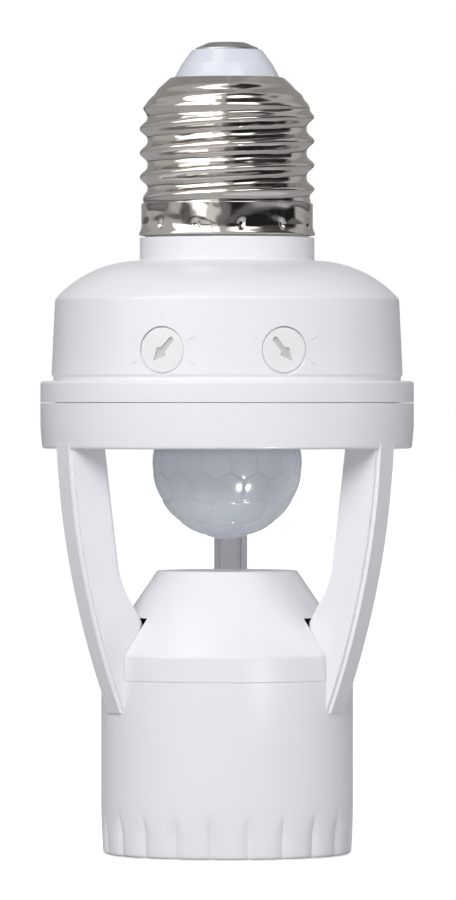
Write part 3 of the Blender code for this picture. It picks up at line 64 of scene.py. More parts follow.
# Radii and heights in mm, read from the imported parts
RING_RADIUS = reach("leg_frame")
SKIRT_RADIUS = reach("socket_cover")
CUP_FLANGE_RADIUS = reach("socket_insert")
SOCKET_SHELL_RADIUS = reach("socket_shell")
LENS_FLANGE_RADIUS = reach("lens_dome")
INSULATOR_RADIUS = reach("cap_insulator")
CUP_BOTTOM, CUP_TOP = heights("socket_insert")
SOCKET_SHELL_BOTTOM, SOCKET_SHELL_TOP = heights("socket_shell")
COVER_SPIGOT_BOTTOM, COVER_TOP = heights("socket_cover")
LENS_FLANGE_TOP = heights("lens_dome")[1]
CAP_SPIGOT_TOP = heights("upper_housing")[1]
SHELL_BOTTOM, SHELL_TOP = heights("cap_shell")
INSULATOR_BOTTOM, CONE_TOP = heights("cap_insulator")
STEM_BOTTOM, CAP_TOP = heights("cap_contact")

# Directions in degrees from +X towards +Y; the front looks along -Y
FRONT = -90
LEG_ANGLES = (90, 210, 330)
SCREW_ANGLES = (30, 150, 270)
KNOB_ANGLE = 20.3
TIME_ARROW_TURN = 228
LUX_ARROW_TURN = -50

# Socket skirt; here and below, sizes are in mm
SKIRT_TOP = 26.2
SKIRT_BORE = 17.1
SKIRT_TAPER = 0.3
SKIRT_TAPER_HEIGHT = 9.0
LEDGE_BOTTOM = 22.5
LEDGE_TOP = 24.0
LEDGE_BORE = 15.6
FLUTE_COUNT = 21
FLUTE_START = -96.2
FLUTE_TOP = 7.6
FLUTE_FADE = 4.2
FLUTE_DEPTH = 0.6
FLUTE_INSIDE = 18.2
FLUTE_SHARPNESS = 9
FLUTE_SOFTENING = 6.2

# Ring, its floor and the screws in it
RING_BOTTOM = 60.7
RING_TOP = 67.5
RING_WALL = 1.9
RING_DRAFT = 0.3
RING_DRAFT_TOP = 64.0
RING_BORE = RING_RADIUS - RING_WALL
FLOOR_TOP = 62.5
LENS_HOLE = 11.67
SCREW_PLACE = 20.5
SCREW_PAD_RADIUS = 3.7
SCREW_RECESS_RADIUS = 2.5
SCREW_HOLE_RADIUS = 1.5
RING_SCREW_HEAD = 2.2
RING_SCREW_SHAFT = 1.2
SCREW_HEAD_HEIGHT = 1.2

# Legs, drawn in the plane of one leg as (radius, height)
LEG_THICKNESS = 4.95
LEG_EDGE = 0.6
LEG_ROOT = 61.6
LEG_TOP_OUTER = RING_RADIUS - 0.2
LEG_TOP_INNER = 21.65
LEG_SWELL = (26.8, 40.6)
LEG_FOOT = (19.2, 21.4)
LEG_FOOT_INSIDE = 18.0
KNEE = (19.1, 40.9)
KNEE_BLEND = 3.0
BRACE = (15.5, 34.9)
BRACE_BOTTOM = 23.2
CHANNEL_WIDTH = 3.3
CHANNEL_DEPTH = 3.3
CHANNEL_TOP = 62.8
CHANNEL_MOUTH = 34.2
CHANNEL_BOTTOM = 33.8
STRIP_WIDTH = 3.24
STRIP_THICKNESS = 0.6
STRIP_SINK = 0.1
STRIP_STOP = 2.6

# Upper housing
HOUSING_PLAY = 0.3
HOUSING_WALL = 1.7
HOUSING_BOTTOM = 65.1
HOUSING_CEILING = 80.2
FLANGE_SEAM = 0.08
FLANGE_TOP = 70.8
GROOVE_RADIUS = 26.04
GROOVE_TOP = 71.35
WALL_FOOT = (26.33, 71.75)
WALL_HEAD = (25.8, 83.05)
WALL_DRAFT = 0.047
WALL_BESIDE_KNOBS = 26.1
SHOULDER_TOP = 88.8
SHOULDER_ARC = 16.9
SHOULDER_START = 41.28
NECK_RADIUS = 13.1
NECK_TOP = 92.3
CAP_SPIGOT_RADIUS = 12.21
CAP_SPIGOT_BORE = 10.2

# Knobs and the ticks round them
KNOB_HEIGHT = 75.3
KNOB_FACE = 25.74
KNOB_RADIUS = 3.3
KNOB_HOLE_RADIUS = 3.5
KNOB_PLAY = 0.04
KNOB_THICKNESS = 2.2
KNOB_SHAFT_RADIUS = 1.0
KNOB_SHAFT_END = 4.8
ARROW_DEPTH = 0.5
ARROW_FLOOR = 0.2
TICK_TURNS = (-22, 22, 90, 158, 202)
TICK_PLACE = KNOB_HOLE_RADIUS + 1.45
TICK_LENGTH = 1.1
TICK_WIDTH = 0.32
TICK_THICKNESS = 0.24

# Socket cover
COVER_BOTTOM = 26.23
COVER_BAND_TOP = 30.0
COVER_TOP_RADIUS = 10.5
COVER_WALL = 1.5
COVER_SPIGOT_RADIUS = 16.8
COVER_SPIGOT_BORE = 15.95
COVER_BORE_TOP = 26.3
SLOT_INSIDE = 11.0
SLOT_OUTSIDE = 40.0
SLOT_PLAY = 0.3
SLOT_BOTTOM = 22.7
SLOT_TOP = 35.45

# Lamp socket
CUP_RADIUS = 15.3
CUP_TOP_RADIUS = 13.9
CUP_CHAMFER = 2.6
CUP_LIP_BORE = 13.5
CUP_LIP_HEIGHT = 1.0
CUP_PLAY = 0.3
CUP_CEILING = 2.0
CUP_FLANGE_TOP = LEDGE_BOTTOM - 0.3
CUP_FLANGE_THICKNESS = 1.5
SOCKET_CREST = 13.31
SOCKET_ROOT = 12.34
SOCKET_MOUTH = 13.3
SOCKET_SHELL_FLANGE = 10.4
CUP_SCREW_PLACE = 8.0
CUP_SCREW_HEAD = 2.0
CUP_SCREW_SHAFT = 1.1

# Screw cap
SHEET = 0.35
THREAD_PITCH = 3.629
THREAD_CREST = 13.11
THREAD_ROOT = 11.94
THREAD_PHASE = 3.31
THREAD_LOW = SHELL_BOTTOM + 5.4
THREAD_HIGH = SHELL_TOP - 4.5
THREAD_SHARPNESS = 1.6
THREAD_RUN_IN = 2.2
THREAD_RUN_OUT = 2.6
SHELL_SKIRT_RADIUS = 12.86
SHELL_SKIRT_BORE = 12.51
SHELL_INSIDE = 11.8
RIPPLE_LOW = THREAD_HIGH + 0.2
RIPPLE_TOP = SHELL_TOP - 0.6
RIPPLE_DEPTH = 0.13
RIPPLE_PITCH = 2.1
RIPPLE_PHASE = 113.75
DIMPLE_COUNT = 12
DIMPLE_TURN = 109
DIMPLE_HEIGHT = SHELL_BOTTOM + 1.55
DIMPLE_SIZE = 0.72
DIMPLE_DEPTH = 0.5
DIMPLE_LEAN = 0.25
DIMPLE_ACROSS = 1.4
DIMPLE_UPRIGHT = 0.6
INSULATOR_BORE = 1.1
CONE_TOP_RADIUS = 5.2
CONE_FOOT_RADIUS = 7.9
BUTTON_RADIUS = 4.72
BUTTON_SEAM = 0.02
STEM_RADIUS = 0.8

# Sensor dome: each row of cells as elevation of their middles, count and direction of the first
LENS_CENTRE = 58.7
LENS_RADIUS = 11.28
LENS_ROWS = ((0, 16, -97.5), (-20.5, 16, -86.25), (-41, 13, -91.5), (-61, 6, -98), (-90, 1, 0))
LENS_FLANGE_THICKNESS = 1.0
LENS_FLANGE_BORE = 9.5
LENS_EDGE = 22
CELL_HOLD = 6.0
CELL_HOLD_STEP = 1.28
CELL_HALF_ROW = 10.4
CELL_BLEND = 0.012
CELL_INSET = 0.05
CELL_LIP = 0.10
CELL_SAG = 2.3
CELL_GROOVE_WIDTH = 0.10
CELL_GROOVE_DEPTH = 0.15

# Points round each turned form
FINEST = 360
FINE = 224
SOCKET_FINE = 192
MEDIUM = 96
SMALL = 48
COARSE = 32
FLUTE_POINTS = 14
LENS_RINGS = 170


# Mesh helpers

def polar(radius, degrees, height=0.0):
    angle = math.radians(degrees)
    return Vector((radius * math.cos(angle), radius * math.sin(angle), height))


def rounded(corners, steps=5):
    """A closed outline with fillets: corners are (radius, height, fillet) in mm."""
    points = []
    count = len(corners)
    for index, corner in enumerate(corners):
        place = Vector(corner[:2])
        fillet = corner[2] if len(corner) > 2 else 0
        if not fillet:
            points.append(tuple(place))
            continue
        before = Vector(corners[index - 1][:2]) - place
        after = Vector(corners[(index + 1) % count][:2]) - place
        half = before.angle(after) / 2
        reach_back = min(fillet / math.tan(half), 0.49 * before.length, 0.49 * after.length)
        radius = reach_back * math.tan(half)
        middle = (before.normalized() + after.normalized()).normalized()
        centre = place + middle * (radius / math.sin(half))
        first = place + before.normalized() * reach_back - centre
        last = place + after.normalized() * reach_back - centre
        sweep = math.atan2(first.x * last.y - first.y * last.x, first.dot(last))
        for step in range(steps + 1):
            turn = sweep * step / steps
            points.append((centre.x + first.x * math.cos(turn) - first.y * math.sin(turn),
                           centre.y + first.x * math.sin(turn) + first.y * math.cos(turn)))
    return points


def arc(centre, radius, start, end, steps):
    angles = [math.radians(start + (end - start) * step / steps) for step in range(steps + 1)]
    return [(centre[0] + radius * math.cos(a), centre[1] + radius * math.sin(a)) for a in angles]


def bezier(start, control, end, steps):
    points = []
    for step in range(steps + 1):
        t = step / steps
        a, b, c = (1 - t) ** 2, 2 * t * (1 - t), t * t
        points.append(tuple(a * start[k] + b * control[k] + c * end[k] for k in (0, 1)))
    return points


def toward(start, end, distance):
    step = (Vector(end) - Vector(start)).normalized() * distance
    return (start[0] + step[0], start[1] + step[1])


def offset_line(points, distance):
    """The line moved to its left."""
    moved = []
    for index, point in enumerate(points):
        before = Vector(points[max(index - 1, 0)])
        after = Vector(points[min(index + 1, len(points) - 1)])
        along = (after - before).normalized()
        moved.append((point[0] - along[1] * distance, point[1] + along[0] * distance))
    return moved


def ease(value):
    """From 0 to 1 with a soft start and end."""
    value = np.clip(value, 0, 1)
    return value * value * (3 - 2 * value)


def linked(name, mesh):
    thing = bpy.data.objects.new(name, mesh)
    bpy.context.scene.collection.objects.link(thing)
    return thing


def smooth(thing, sharp=35):
    """Smooth shading apart from edges sharper than the angle."""
    thing.data.shade_smooth()
    thing.data.set_sharp_from_angle(angle=math.radians(sharp))


def solid(name, verts, faces, sharp=35):
    """A mesh object with its normals out."""
    mesh = bpy.data.meshes.new(name)
    mesh.from_pydata([tuple(v) for v in verts], [], faces)
    work = bmesh.new()
    work.from_mesh(mesh)
    bmesh.ops.remove_doubles(work, verts=work.verts[:], dist=1e-7)
    bmesh.ops.recalc_face_normals(work, faces=work.faces[:])
    work.to_mesh(mesh)
    work.free()
    thing = linked(name, mesh)
    smooth(thing, sharp)
    return thing


def turned(name, outline, segments=FINE, relief=None, start=0.0, sharp=35):
    """A closed outline of (radius, height) in mm turned about the Z axis.

    relief takes arrays of radius, height and angle and gives the new radius.
    """
    outline = np.array(outline, float)
    angles = math.radians(start) + np.arange(segments) * 2 * math.pi / segments
    radius = np.repeat(outline[:, :1], segments, 1)
    height = np.repeat(outline[:, 1:], segments, 1)
    angle = np.repeat(angles[None, :], len(outline), 0)
    if relief:
        radius = relief(radius, height, angle)
    verts = np.stack((radius * np.cos(angle), radius * np.sin(angle), height), -1)
    verts = verts.reshape(-1, 3) * MM
    faces = []
    count = len(outline)
    for i in range(count):
        j = (i + 1) % count
        on_axis = outline[i, 0] < 1e-6, outline[j, 0] < 1e-6
        if all(on_axis):
            continue
        for k in range(segments):
            m = (k + 1) % segments
            a, b, c, d = i * segments + k, i * segments + m, j * segments + m, j * segments + k
            if on_axis[0]:
                faces.append((a, c, d))
            elif on_axis[1]:
                faces.append((a, b, c))
            else:
                faces.append((a, b, c, d))
    return solid(name, verts, faces, sharp)


def prism(name, outline, thickness, matrix, edge=0.0):
    """An outline in mm, extruded both ways along local Z, with rounded rims."""
    work = bmesh.new()
    points = [work.verts.new((x * MM, y * MM, -thickness * MM / 2)) for x, y in outline]
    face = work.faces.new(points)
    grown = bmesh.ops.extrude_face_region(work, geom=[face])
    moved = [part for part in grown["geom"] if isinstance(part, bmesh.types.BMVert)]
    bmesh.ops.translate(work, verts=moved, vec=(0, 0, thickness * MM))
    if edge:
        rims = [e for e in work.edges if abs(e.verts[0].co.z - e.verts[1].co.z) < 1e-9]
        bmesh.ops.bevel(work, geom=rims, offset=edge * MM, segments=4, affect="EDGES", clamp_overlap=True)
    bmesh.ops.recalc_face_normals(work, faces=work.faces[:])
    bmesh.ops.transform(work, matrix=matrix, verts=work.verts[:])
    mesh = bpy.data.meshes.new(name)
    work.to_mesh(mesh)
    work.free()
    thing = linked(name, mesh)
    smooth(thing)
    return thing


def rod(name, radius, low, high, place, segments=SMALL):
    thing = turned(name, [(0, low), (radius, low), (radius, high), (0, high)], segments)
    thing.data.transform(Matrix.Translation((place[0] * MM, place[1] * MM, 0)))
    return thing


def settle(thing):
    """Applies the modifiers to the mesh."""
    graph = bpy.context.evaluated_depsgraph_get()
    graph.update()
    mesh = bpy.data.meshes.new_from_object(thing.evaluated_get(graph))
    thing.modifiers.clear()
    thing.data = mesh


def carve(thing, tools, operation="DIFFERENCE"):
    for tool in tools:
        modifier = thing.modifiers.new("carve", "BOOLEAN")
        modifier.operation = operation
        modifier.solver = "EXACT"
        modifier.object = tool
    settle(thing)
    for tool in tools:
        bpy.data.objects.remove(tool)
    smooth(thing)


def merged(name, parts):
    """Several meshes as one object."""
    work = bmesh.new()
    for part in parts:
        work.from_mesh(part.data)
        bpy.data.objects.remove(part)
    mesh = bpy.data.meshes.new(name)
    work.to_mesh(mesh)
    work.free()
    return linked(name, mesh)


def even_normals(thing):
    """Lets the large faces set the shading beside their fillets."""
    modifier = thing.modifiers.new("shading", "WEIGHTED_NORMAL")
    modifier.keep_sharp = True
    return thing


def radial_plane(degrees):
    """Local X outwards and local Y up, in the plane through the axis."""
    out = polar(1, degrees)
    up = Vector((0, 0, 1))
    return Matrix((out, up, out.cross(up))).transposed().to_4x4()


def facing_out(degrees, radius, height):
    """Local Z outwards and local Y up, at a place on a wall in mm."""
    out = polar(1, degrees)
    up = Vector((0, 0, 1))
    turn = Matrix((up.cross(out), up, out)).transposed().to_4x4()
    return Matrix.Translation(polar(radius * MM, degrees, height * MM)) @ turn


# Materials

class Paint:
    """A material on a Principled shader, with short calls for the nodes that vary it."""

    def __init__(self, name, colour, roughness, metallic=0.0, **values):
        self.material = bpy.data.materials.new(name)
        self.material.use_nodes = True
        self.tree = self.material.node_tree
        self.shader = self.tree.nodes["Principled BSDF"]
        self.shader.inputs["Base Color"].default_value = (*colour, 1)
        self.shader.inputs["Roughness"].default_value = roughness
        self.shader.inputs["Metallic"].default_value = metallic
        for key, value in values.items():
            self.shader.inputs[key.replace("_", " ")].default_value = value
        self.colour = colour
        self.place = self.tree.nodes.new("ShaderNodeTexCoord").outputs["Object"]

    def link(self, a, b):
        self.tree.links.new(a, b)

    def scaled(self, scale):
        node = self.tree.nodes.new("ShaderNodeMapping")
        node.inputs["Scale"].default_value = scale
        self.link(self.place, node.inputs["Vector"])
        return node.outputs["Vector"]

    def noise(self, scale, detail=2.0, stretch=None, distortion=0.0):
        node = self.tree.nodes.new("ShaderNodeTexNoise")
        node.inputs["Scale"].default_value = scale
        node.inputs["Detail"].default_value = detail
        node.inputs["Distortion"].default_value = distortion
        self.link(self.scaled(stretch) if stretch else self.place, node.inputs["Vector"])
        return node.outputs["Fac"]

    def ramp(self, value, low, high, out_low=0.0, out_high=1.0):
        node = self.tree.nodes.new("ShaderNodeMapRange")
        limits = (("From Min", low), ("From Max", high), ("To Min", out_low), ("To Max", out_high))
        for key, number in limits:
            node.inputs[key].default_value = number
        self.link(value, node.inputs["Value"])
        return node.outputs["Result"]

    def tint(self, value, other):
        """Varies the colour between the base and the other colour."""
        node = self.tree.nodes.new("ShaderNodeMix")
        node.data_type = "RGBA"
        node.inputs[6].default_value = (*self.colour, 1)
        node.inputs[7].default_value = (*other, 1)
        self.link(value, node.inputs["Factor"])
        self.link(node.outputs[2], self.shader.inputs["Base Color"])

    def gloss(self, value, low, high):
        """Varies the roughness between low and high."""
        self.link(self.ramp(value, 0.3, 0.7, low, high), self.shader.inputs["Roughness"])

    def bump(self, layers):
        """layers are (height value, strength, distance in mm)."""
        normal = None
        for value, strength, distance in layers:
            node = self.tree.nodes.new("ShaderNodeBump")
            node.inputs["Strength"].default_value = strength
            node.inputs["Distance"].default_value = distance * MM
            self.link(value, node.inputs["Height"])
            if normal:
                self.link(normal, node.inputs["Normal"])
            normal = node.outputs["Normal"]
        self.link(normal, self.shader.inputs["Normal"])


def moulded(name, colour, other, low, high, grain=0.05, **values):
    """Injection-moulded plastic: small changes of colour and gloss, and a finely uneven skin."""
    paint = Paint(name, colour, (low + high) / 2, **values)
    paint.tint(paint.noise(300, 1), other)
    paint.gloss(paint.noise(300, 1), low, high)
    paint.bump([(paint.noise(2600, 2), grain, 0.015)])
    return paint.material


def plated(name, colour, other, low, high, streak=(900, 900, 60), sway=0.0):
    """Drawn and plated metal: fine streaks along the draw, small dull spots and shallow waves."""
    paint = Paint(name, colour, (low + high) / 2, 1.0)
    streaks = paint.noise(1, 4, streak)
    paint.tint(paint.ramp(paint.noise(260, 4), 0.4, 0.75), other)
    paint.gloss(streaks, low, high)
    layers = [(streaks, 0.05, 0.02), (paint.noise(700, 3), 0.06, 0.03)]
    if sway:
        layers.append((paint.noise(150, 1, (1, 1, 1.6)), 1.0, sway))
    paint.bump(layers)
    return paint.material


def lens_plastic():
    """Milky polyethylene: cloudy, a little translucent, shiny in its moulded cells."""
    paint = Paint("milky_dome", (0.84, 0.885, 0.96), 0.16, Subsurface_Weight=0.2,
                  Subsurface_Scale=0.002, IOR=1.52)
    paint.tint(paint.noise(420, 3, None, 0.6), (0.82, 0.865, 0.94))
    paint.gloss(paint.noise(900, 2), 0.12, 0.2)
    paint.bump([(paint.noise(320, 3), 0.06, 0.05), (paint.noise(3000, 2), 0.03, 0.02)])
    return paint.material


def circuit_board():
    """Green lacquer over paler copper runs."""
    paint = Paint("board_lacquer", (0.03, 0.17, 0.07), 0.35)
    node = paint.tree.nodes.new("ShaderNodeTexVoronoi")
    node.distance = "MANHATTAN"
    node.feature = "F1"
    node.inputs["Scale"].default_value = 420
    paint.link(paint.place, node.inputs["Vector"])
    runs = paint.ramp(node.outputs["Distance"], 0.42, 0.46)
    paint.tint(runs, (0.06, 0.26, 0.10))
    paint.gloss(paint.noise(800, 2), 0.28, 0.42)
    paint.bump([(runs, 0.3, 0.05)])
    return paint.material


def make_materials():
    """One material for each slot of the record, and a grey that paints the shade of the sunk arrows onto
    their floors.
    """
    return {
        "white_plastic": moulded("moulded_white", (0.864, 0.853, 0.892), (0.863, 0.852, 0.891),
                                 0.276, 0.279),
        "knob_plastic": moulded("satin_white", (0.85, 0.85, 0.865), (0.83, 0.83, 0.848), 0.34, 0.46, 0.07),
        # Grey for the arrows' floors: painted shade that stands in for the shadow inside the sunk arrows.
        "arrow_painted_shade": moulded("arrow_painted_shade", (0.60, 0.60, 0.58), (0.56, 0.56, 0.54), 0.45, 0.6, 0.1),
        "nickel": plated("bright_nickel", (0.72, 0.69, 0.66), (0.66, 0.63, 0.60), 0.06, 0.16, sway=0.6),
        "contact_metal": plated("tinned_contact", (0.62, 0.62, 0.63), (0.50, 0.50, 0.51), 0.34, 0.52,
                                (400, 400, 400)),
        "insulator": moulded("glassy_white", (0.75, 0.77, 0.85), (0.72, 0.74, 0.83), 0.10, 0.18, 0.03,
                             Subsurface_Weight=0.2, Subsurface_Scale=0.002),
        "lens_plastic": lens_plastic(),
        "brass": plated("bare_brass", (0.72, 0.53, 0.24), (0.60, 0.42, 0.17), 0.18, 0.34),
        "screw_steel": plated("zinc_steel", (0.58, 0.58, 0.60), (0.48, 0.48, 0.50), 0.22, 0.38,
                              (500, 500, 500)),
        "board_fibre": circuit_board(),
        "black_plastic": moulded("black_moulding", (0.028, 0.028, 0.032), (0.045, 0.045, 0.05),
                                 0.3, 0.5, 0.12),
        "capacitor_yellow": moulded("yellow_case", (0.74, 0.50, 0.06), (0.66, 0.42, 0.05), 0.25, 0.4, 0.1),
        "relay_blue": moulded("blue_case", (0.04, 0.15, 0.44), (0.03, 0.12, 0.36), 0.25, 0.4, 0.1),
        "resistor_body": moulded("beige_lacquer", (0.52, 0.41, 0.26), (0.44, 0.34, 0.21), 0.4, 0.6, 0.15),
        "lead_red": moulded("red_sleeve", (0.50, 0.025, 0.025), (0.40, 0.02, 0.02), 0.35, 0.5, 0.1),
        "lead_blue": moulded("blue_sleeve", (0.035, 0.07, 0.38), (0.025, 0.05, 0.30), 0.35, 0.5, 0.1),
    }


# Upper housing and its knobs

def make_housing():
    """Neck, rounded shoulder, wall and flange, with two holes for the knobs."""
    centre = (NECK_RADIUS, SHOULDER_TOP - SHOULDER_ARC)
    outer = arc(centre, SHOULDER_ARC, SHOULDER_START, 90, 18)
    inner = arc(centre, SHOULDER_ARC - HOUSING_WALL, 90, SHOULDER_START, 8)
    spigot = RING_BORE - HOUSING_PLAY
    bore = spigot - HOUSING_WALL
    flange_bottom = RING_TOP + FLANGE_SEAM
    corners = [(bore, HOUSING_BOTTOM, 0.2), (spigot, HOUSING_BOTTOM, 0.2), (spigot, flange_bottom),
               (RING_RADIUS, flange_bottom, 0.12), (RING_RADIUS, FLANGE_TOP, 0.5),
               (GROOVE_RADIUS, FLANGE_TOP, 0.08), (GROOVE_RADIUS, GROOVE_TOP, 0.08), (*WALL_FOOT, 0.15),
               (*WALL_HEAD, 0.9)]
    corners += [(r, z, 0) for r, z in outer[1:-1]]
    corners += [(NECK_RADIUS, SHOULDER_TOP, 0.25), (NECK_RADIUS, NECK_TOP, 0.2),
                (CAP_SPIGOT_RADIUS, NECK_TOP), (CAP_SPIGOT_RADIUS, CAP_SPIGOT_TOP, 0.3),
                (CAP_SPIGOT_BORE, CAP_SPIGOT_TOP, 0.3),
                (CAP_SPIGOT_BORE, inner[0][1], 0.3)]
    corners += [(r, z, 0) for r, z in inner[1:]]
    corners += [(bore, HOUSING_CEILING, 0.5)]
    housing = turned("housing_shell", rounded(corners), FINE)
    tools = []
    for side in (-1, 1):
        outline = [(0, -4), (KNOB_HOLE_RADIUS, -4), (KNOB_HOLE_RADIUS, 0.2), (KNOB_HOLE_RADIUS + 0.12, 0.42),
                   (KNOB_HOLE_RADIUS + 0.55, 1.0), (0, 1.0)]
        tool = turned("hole", outline, MEDIUM)
        tool.data.transform(facing_out(FRONT + side * KNOB_ANGLE, KNOB_FACE, KNOB_HEIGHT))
        tools.append(tool)
    carve(housing, tools)
    return even_normals(housing)


def make_ticks():
    """Plain raised ticks round each knob, half sunk in the drafted wall."""
    x, y, fillet = TICK_LENGTH / 2, TICK_WIDTH / 2, 0.14
    outline = rounded([(-x, -y, fillet), (x, -y, fillet), (x, y, fillet), (-x, y, fillet)])
    parts = []
    for side in (-1, 1):
        for turn in TICK_TURNS:
            across = TICK_PLACE * math.cos(math.radians(turn))
            height = KNOB_HEIGHT + TICK_PLACE * math.sin(math.radians(turn))
            degrees = FRONT + side * KNOB_ANGLE + math.degrees(across / WALL_BESIDE_KNOBS)
            radius = WALL_FOOT[0] - WALL_DRAFT * (height - WALL_FOOT[1])
            matrix = facing_out(degrees, radius, height) @ Matrix.Rotation(math.radians(turn), 4, "Z")
            parts.append(prism("tick", outline, TICK_THICKNESS, matrix, 0.06))
    ticks = merged("dial_ticks", parts)
    smooth(ticks)
    return ticks


def arrow_outline():
    """An arrow along +X with a round tail and a kite-shaped head."""
    tail = arc((-2.0, 0), 0.42, 70, 290, 12)
    head = [(-0.1, -0.42), (0.25, -0.92), (2.15, 0.0), (0.25, 0.92), (-0.1, 0.42)]
    return tail + head


def make_knob(name, side, turn):
    """A satin disc in its hole with a sunk arrow, and a grey piece on the arrow's floor that paints the
    recess's shade.
    """
    collar = KNOB_HOLE_RADIUS - KNOB_PLAY
    outline = rounded([(0, 0), (KNOB_RADIUS, 0, 0.16), (KNOB_RADIUS, -0.22), (collar, -0.24),
                       (collar, -KNOB_THICKNESS, 0.1), (KNOB_SHAFT_RADIUS, -KNOB_THICKNESS),
                       (KNOB_SHAFT_RADIUS, -KNOB_SHAFT_END), (0, -KNOB_SHAFT_END)])
    knob = turned(name, outline, MEDIUM)
    place = facing_out(FRONT + side * KNOB_ANGLE, KNOB_FACE, KNOB_HEIGHT)
    knob.data.transform(place)
    tilt = place @ Matrix.Rotation(math.radians(turn), 4, "Z")
    carve(knob, [prism("arrow", arrow_outline(), 2 * ARROW_DEPTH, tilt)])
    sunk = Matrix.Translation((0, 0, (ARROW_FLOOR / 2 - ARROW_DEPTH) * MM))
    # A thin grey piece on the arrow's floor: painted shade in the recess.
    floor = prism(f"{name}_arrow", arrow_outline(), ARROW_FLOOR, tilt @ sunk)
    return even_normals(knob), floor


# Leg frame, socket cover and the strip over the leads

def leg_inner_edge():
    """Down from the ring, round the knee and in along the brace."""
    top = (LEG_TOP_INNER, RING_BOTTOM)
    bend = bezier(toward(KNEE, top, KNEE_BLEND), KNEE, toward(KNEE, BRACE, KNEE_BLEND), 14)
    return [top, *bend, BRACE]


def make_leg(degrees):
    outer = bezier((LEG_TOP_OUTER, RING_BOTTOM), LEG_SWELL, LEG_FOOT, 36)
    outline = [(LEG_TOP_OUTER, LEG_ROOT), *outer, (LEG_FOOT_INSIDE, LEG_FOOT[1]),
               (LEG_FOOT_INSIDE, BRACE_BOTTOM), (BRACE[0], BRACE_BOTTOM)]
    outline += [*reversed(leg_inner_edge()), (LEG_TOP_INNER, LEG_ROOT)]
    return prism("leg", outline, LEG_THICKNESS, radial_plane(degrees), LEG_EDGE)


def channel_tool():
    """The groove for the leads down the rear leg."""
    edge = leg_inner_edge()
    mouth = offset_line(edge, -0.3)
    bottom = offset_line(edge, CHANNEL_DEPTH)
    outline = [(mouth[0][0], CHANNEL_TOP), *mouth[:-1], (BRACE[0], CHANNEL_MOUTH),
               (BRACE[0], CHANNEL_BOTTOM), (bottom[-1][0] + 0.3, CHANNEL_BOTTOM)]
    outline += [*reversed(bottom[:-1]), (bottom[0][0], CHANNEL_TOP)]
    return prism("channel", outline, CHANNEL_WIDTH, radial_plane(LEG_ANGLES[0]))


def make_skirt():
    """The tapered skirt with its scalloped foot and the ledge for the lamp socket."""

    def scallops(radius, height, angle):
        phase = (np.degrees(angle) - FLUTE_START) * FLUTE_COUNT / 360
        across = 2 * (phase - np.floor(phase)) - 1
        fade = ease((FLUTE_TOP - height) / FLUTE_FADE)
        depth = FLUTE_DEPTH * np.abs(across) ** (FLUTE_SHARPNESS - FLUTE_SOFTENING * fade) * fade
        return np.where(radius > FLUTE_INSIDE, radius - depth, radius)

    corners = [(SKIRT_RADIUS, SKIRT_TOP, 0.06)]
    for height in np.linspace(8.6, 1.0, 16):
        taper = SKIRT_TAPER * ((SKIRT_TAPER_HEIGHT - height) / SKIRT_TAPER_HEIGHT) ** 2
        corners.append((SKIRT_RADIUS - taper, height, 0))
    corners += [(SKIRT_RADIUS - SKIRT_TAPER, 0, 0.55), (SKIRT_BORE, 0, 0.25), (SKIRT_BORE, LEDGE_BOTTOM),
                (LEDGE_BORE, LEDGE_BOTTOM), (LEDGE_BORE, LEDGE_TOP), (SKIRT_BORE, LEDGE_TOP),
                (SKIRT_BORE, SKIRT_TOP)]
    return turned("skirt", rounded(corners), FLUTE_COUNT * FLUTE_POINTS, scallops, FLUTE_START)


def make_ring():
    """The ring and its floor, with screw recesses and the mouth of the leads' groove."""
    corners = [(LENS_HOLE, RING_BOTTOM, 0.25), (RING_RADIUS - RING_DRAFT, RING_BOTTOM, 0.45),
               (RING_RADIUS, RING_DRAFT_TOP), (RING_RADIUS, RING_TOP, 0.12), (RING_BORE, RING_TOP, 0.1),
               (RING_BORE, FLOOR_TOP), (LENS_HOLE, FLOOR_TOP, 0.1)]
    ring = turned("ring", rounded(corners), FINE)
    tools = []
    pads = []
    for degrees in SCREW_ANGLES:
        place = polar(SCREW_PLACE, degrees)
        pads.append(rod("pad", SCREW_PAD_RADIUS, RING_BOTTOM + 0.3, FLOOR_TOP + 1.5, place))
        outline = [(0, RING_BOTTOM - 0.7), (SCREW_RECESS_RADIUS + 0.25, RING_BOTTOM - 0.7),
                   (SCREW_RECESS_RADIUS + 0.25, RING_BOTTOM - 0.05), (SCREW_RECESS_RADIUS, RING_BOTTOM + 0.2),
                   (SCREW_RECESS_RADIUS, FLOOR_TOP), (0, FLOOR_TOP)]
        recess = turned("recess", outline, SMALL)
        recess.data.transform(Matrix.Translation(place * MM))
        tools.append(recess)
        tools.append(rod("hole", SCREW_HOLE_RADIUS, RING_BOTTOM - 1.2, FLOOR_TOP + 3.0, place, COARSE))
    carve(ring, pads, "UNION")
    carve(ring, [*tools, channel_tool()])
    return ring


def make_frame():
    """Skirt, ring and three legs as one moulding."""
    skirt = make_skirt()
    ring = make_ring()
    legs = [make_leg(degrees) for degrees in LEG_ANGLES]
    carve(legs[0], [channel_tool()])
    body = merged("frame_body", [skirt, ring, *legs])
    smooth(body)
    return even_normals(body)


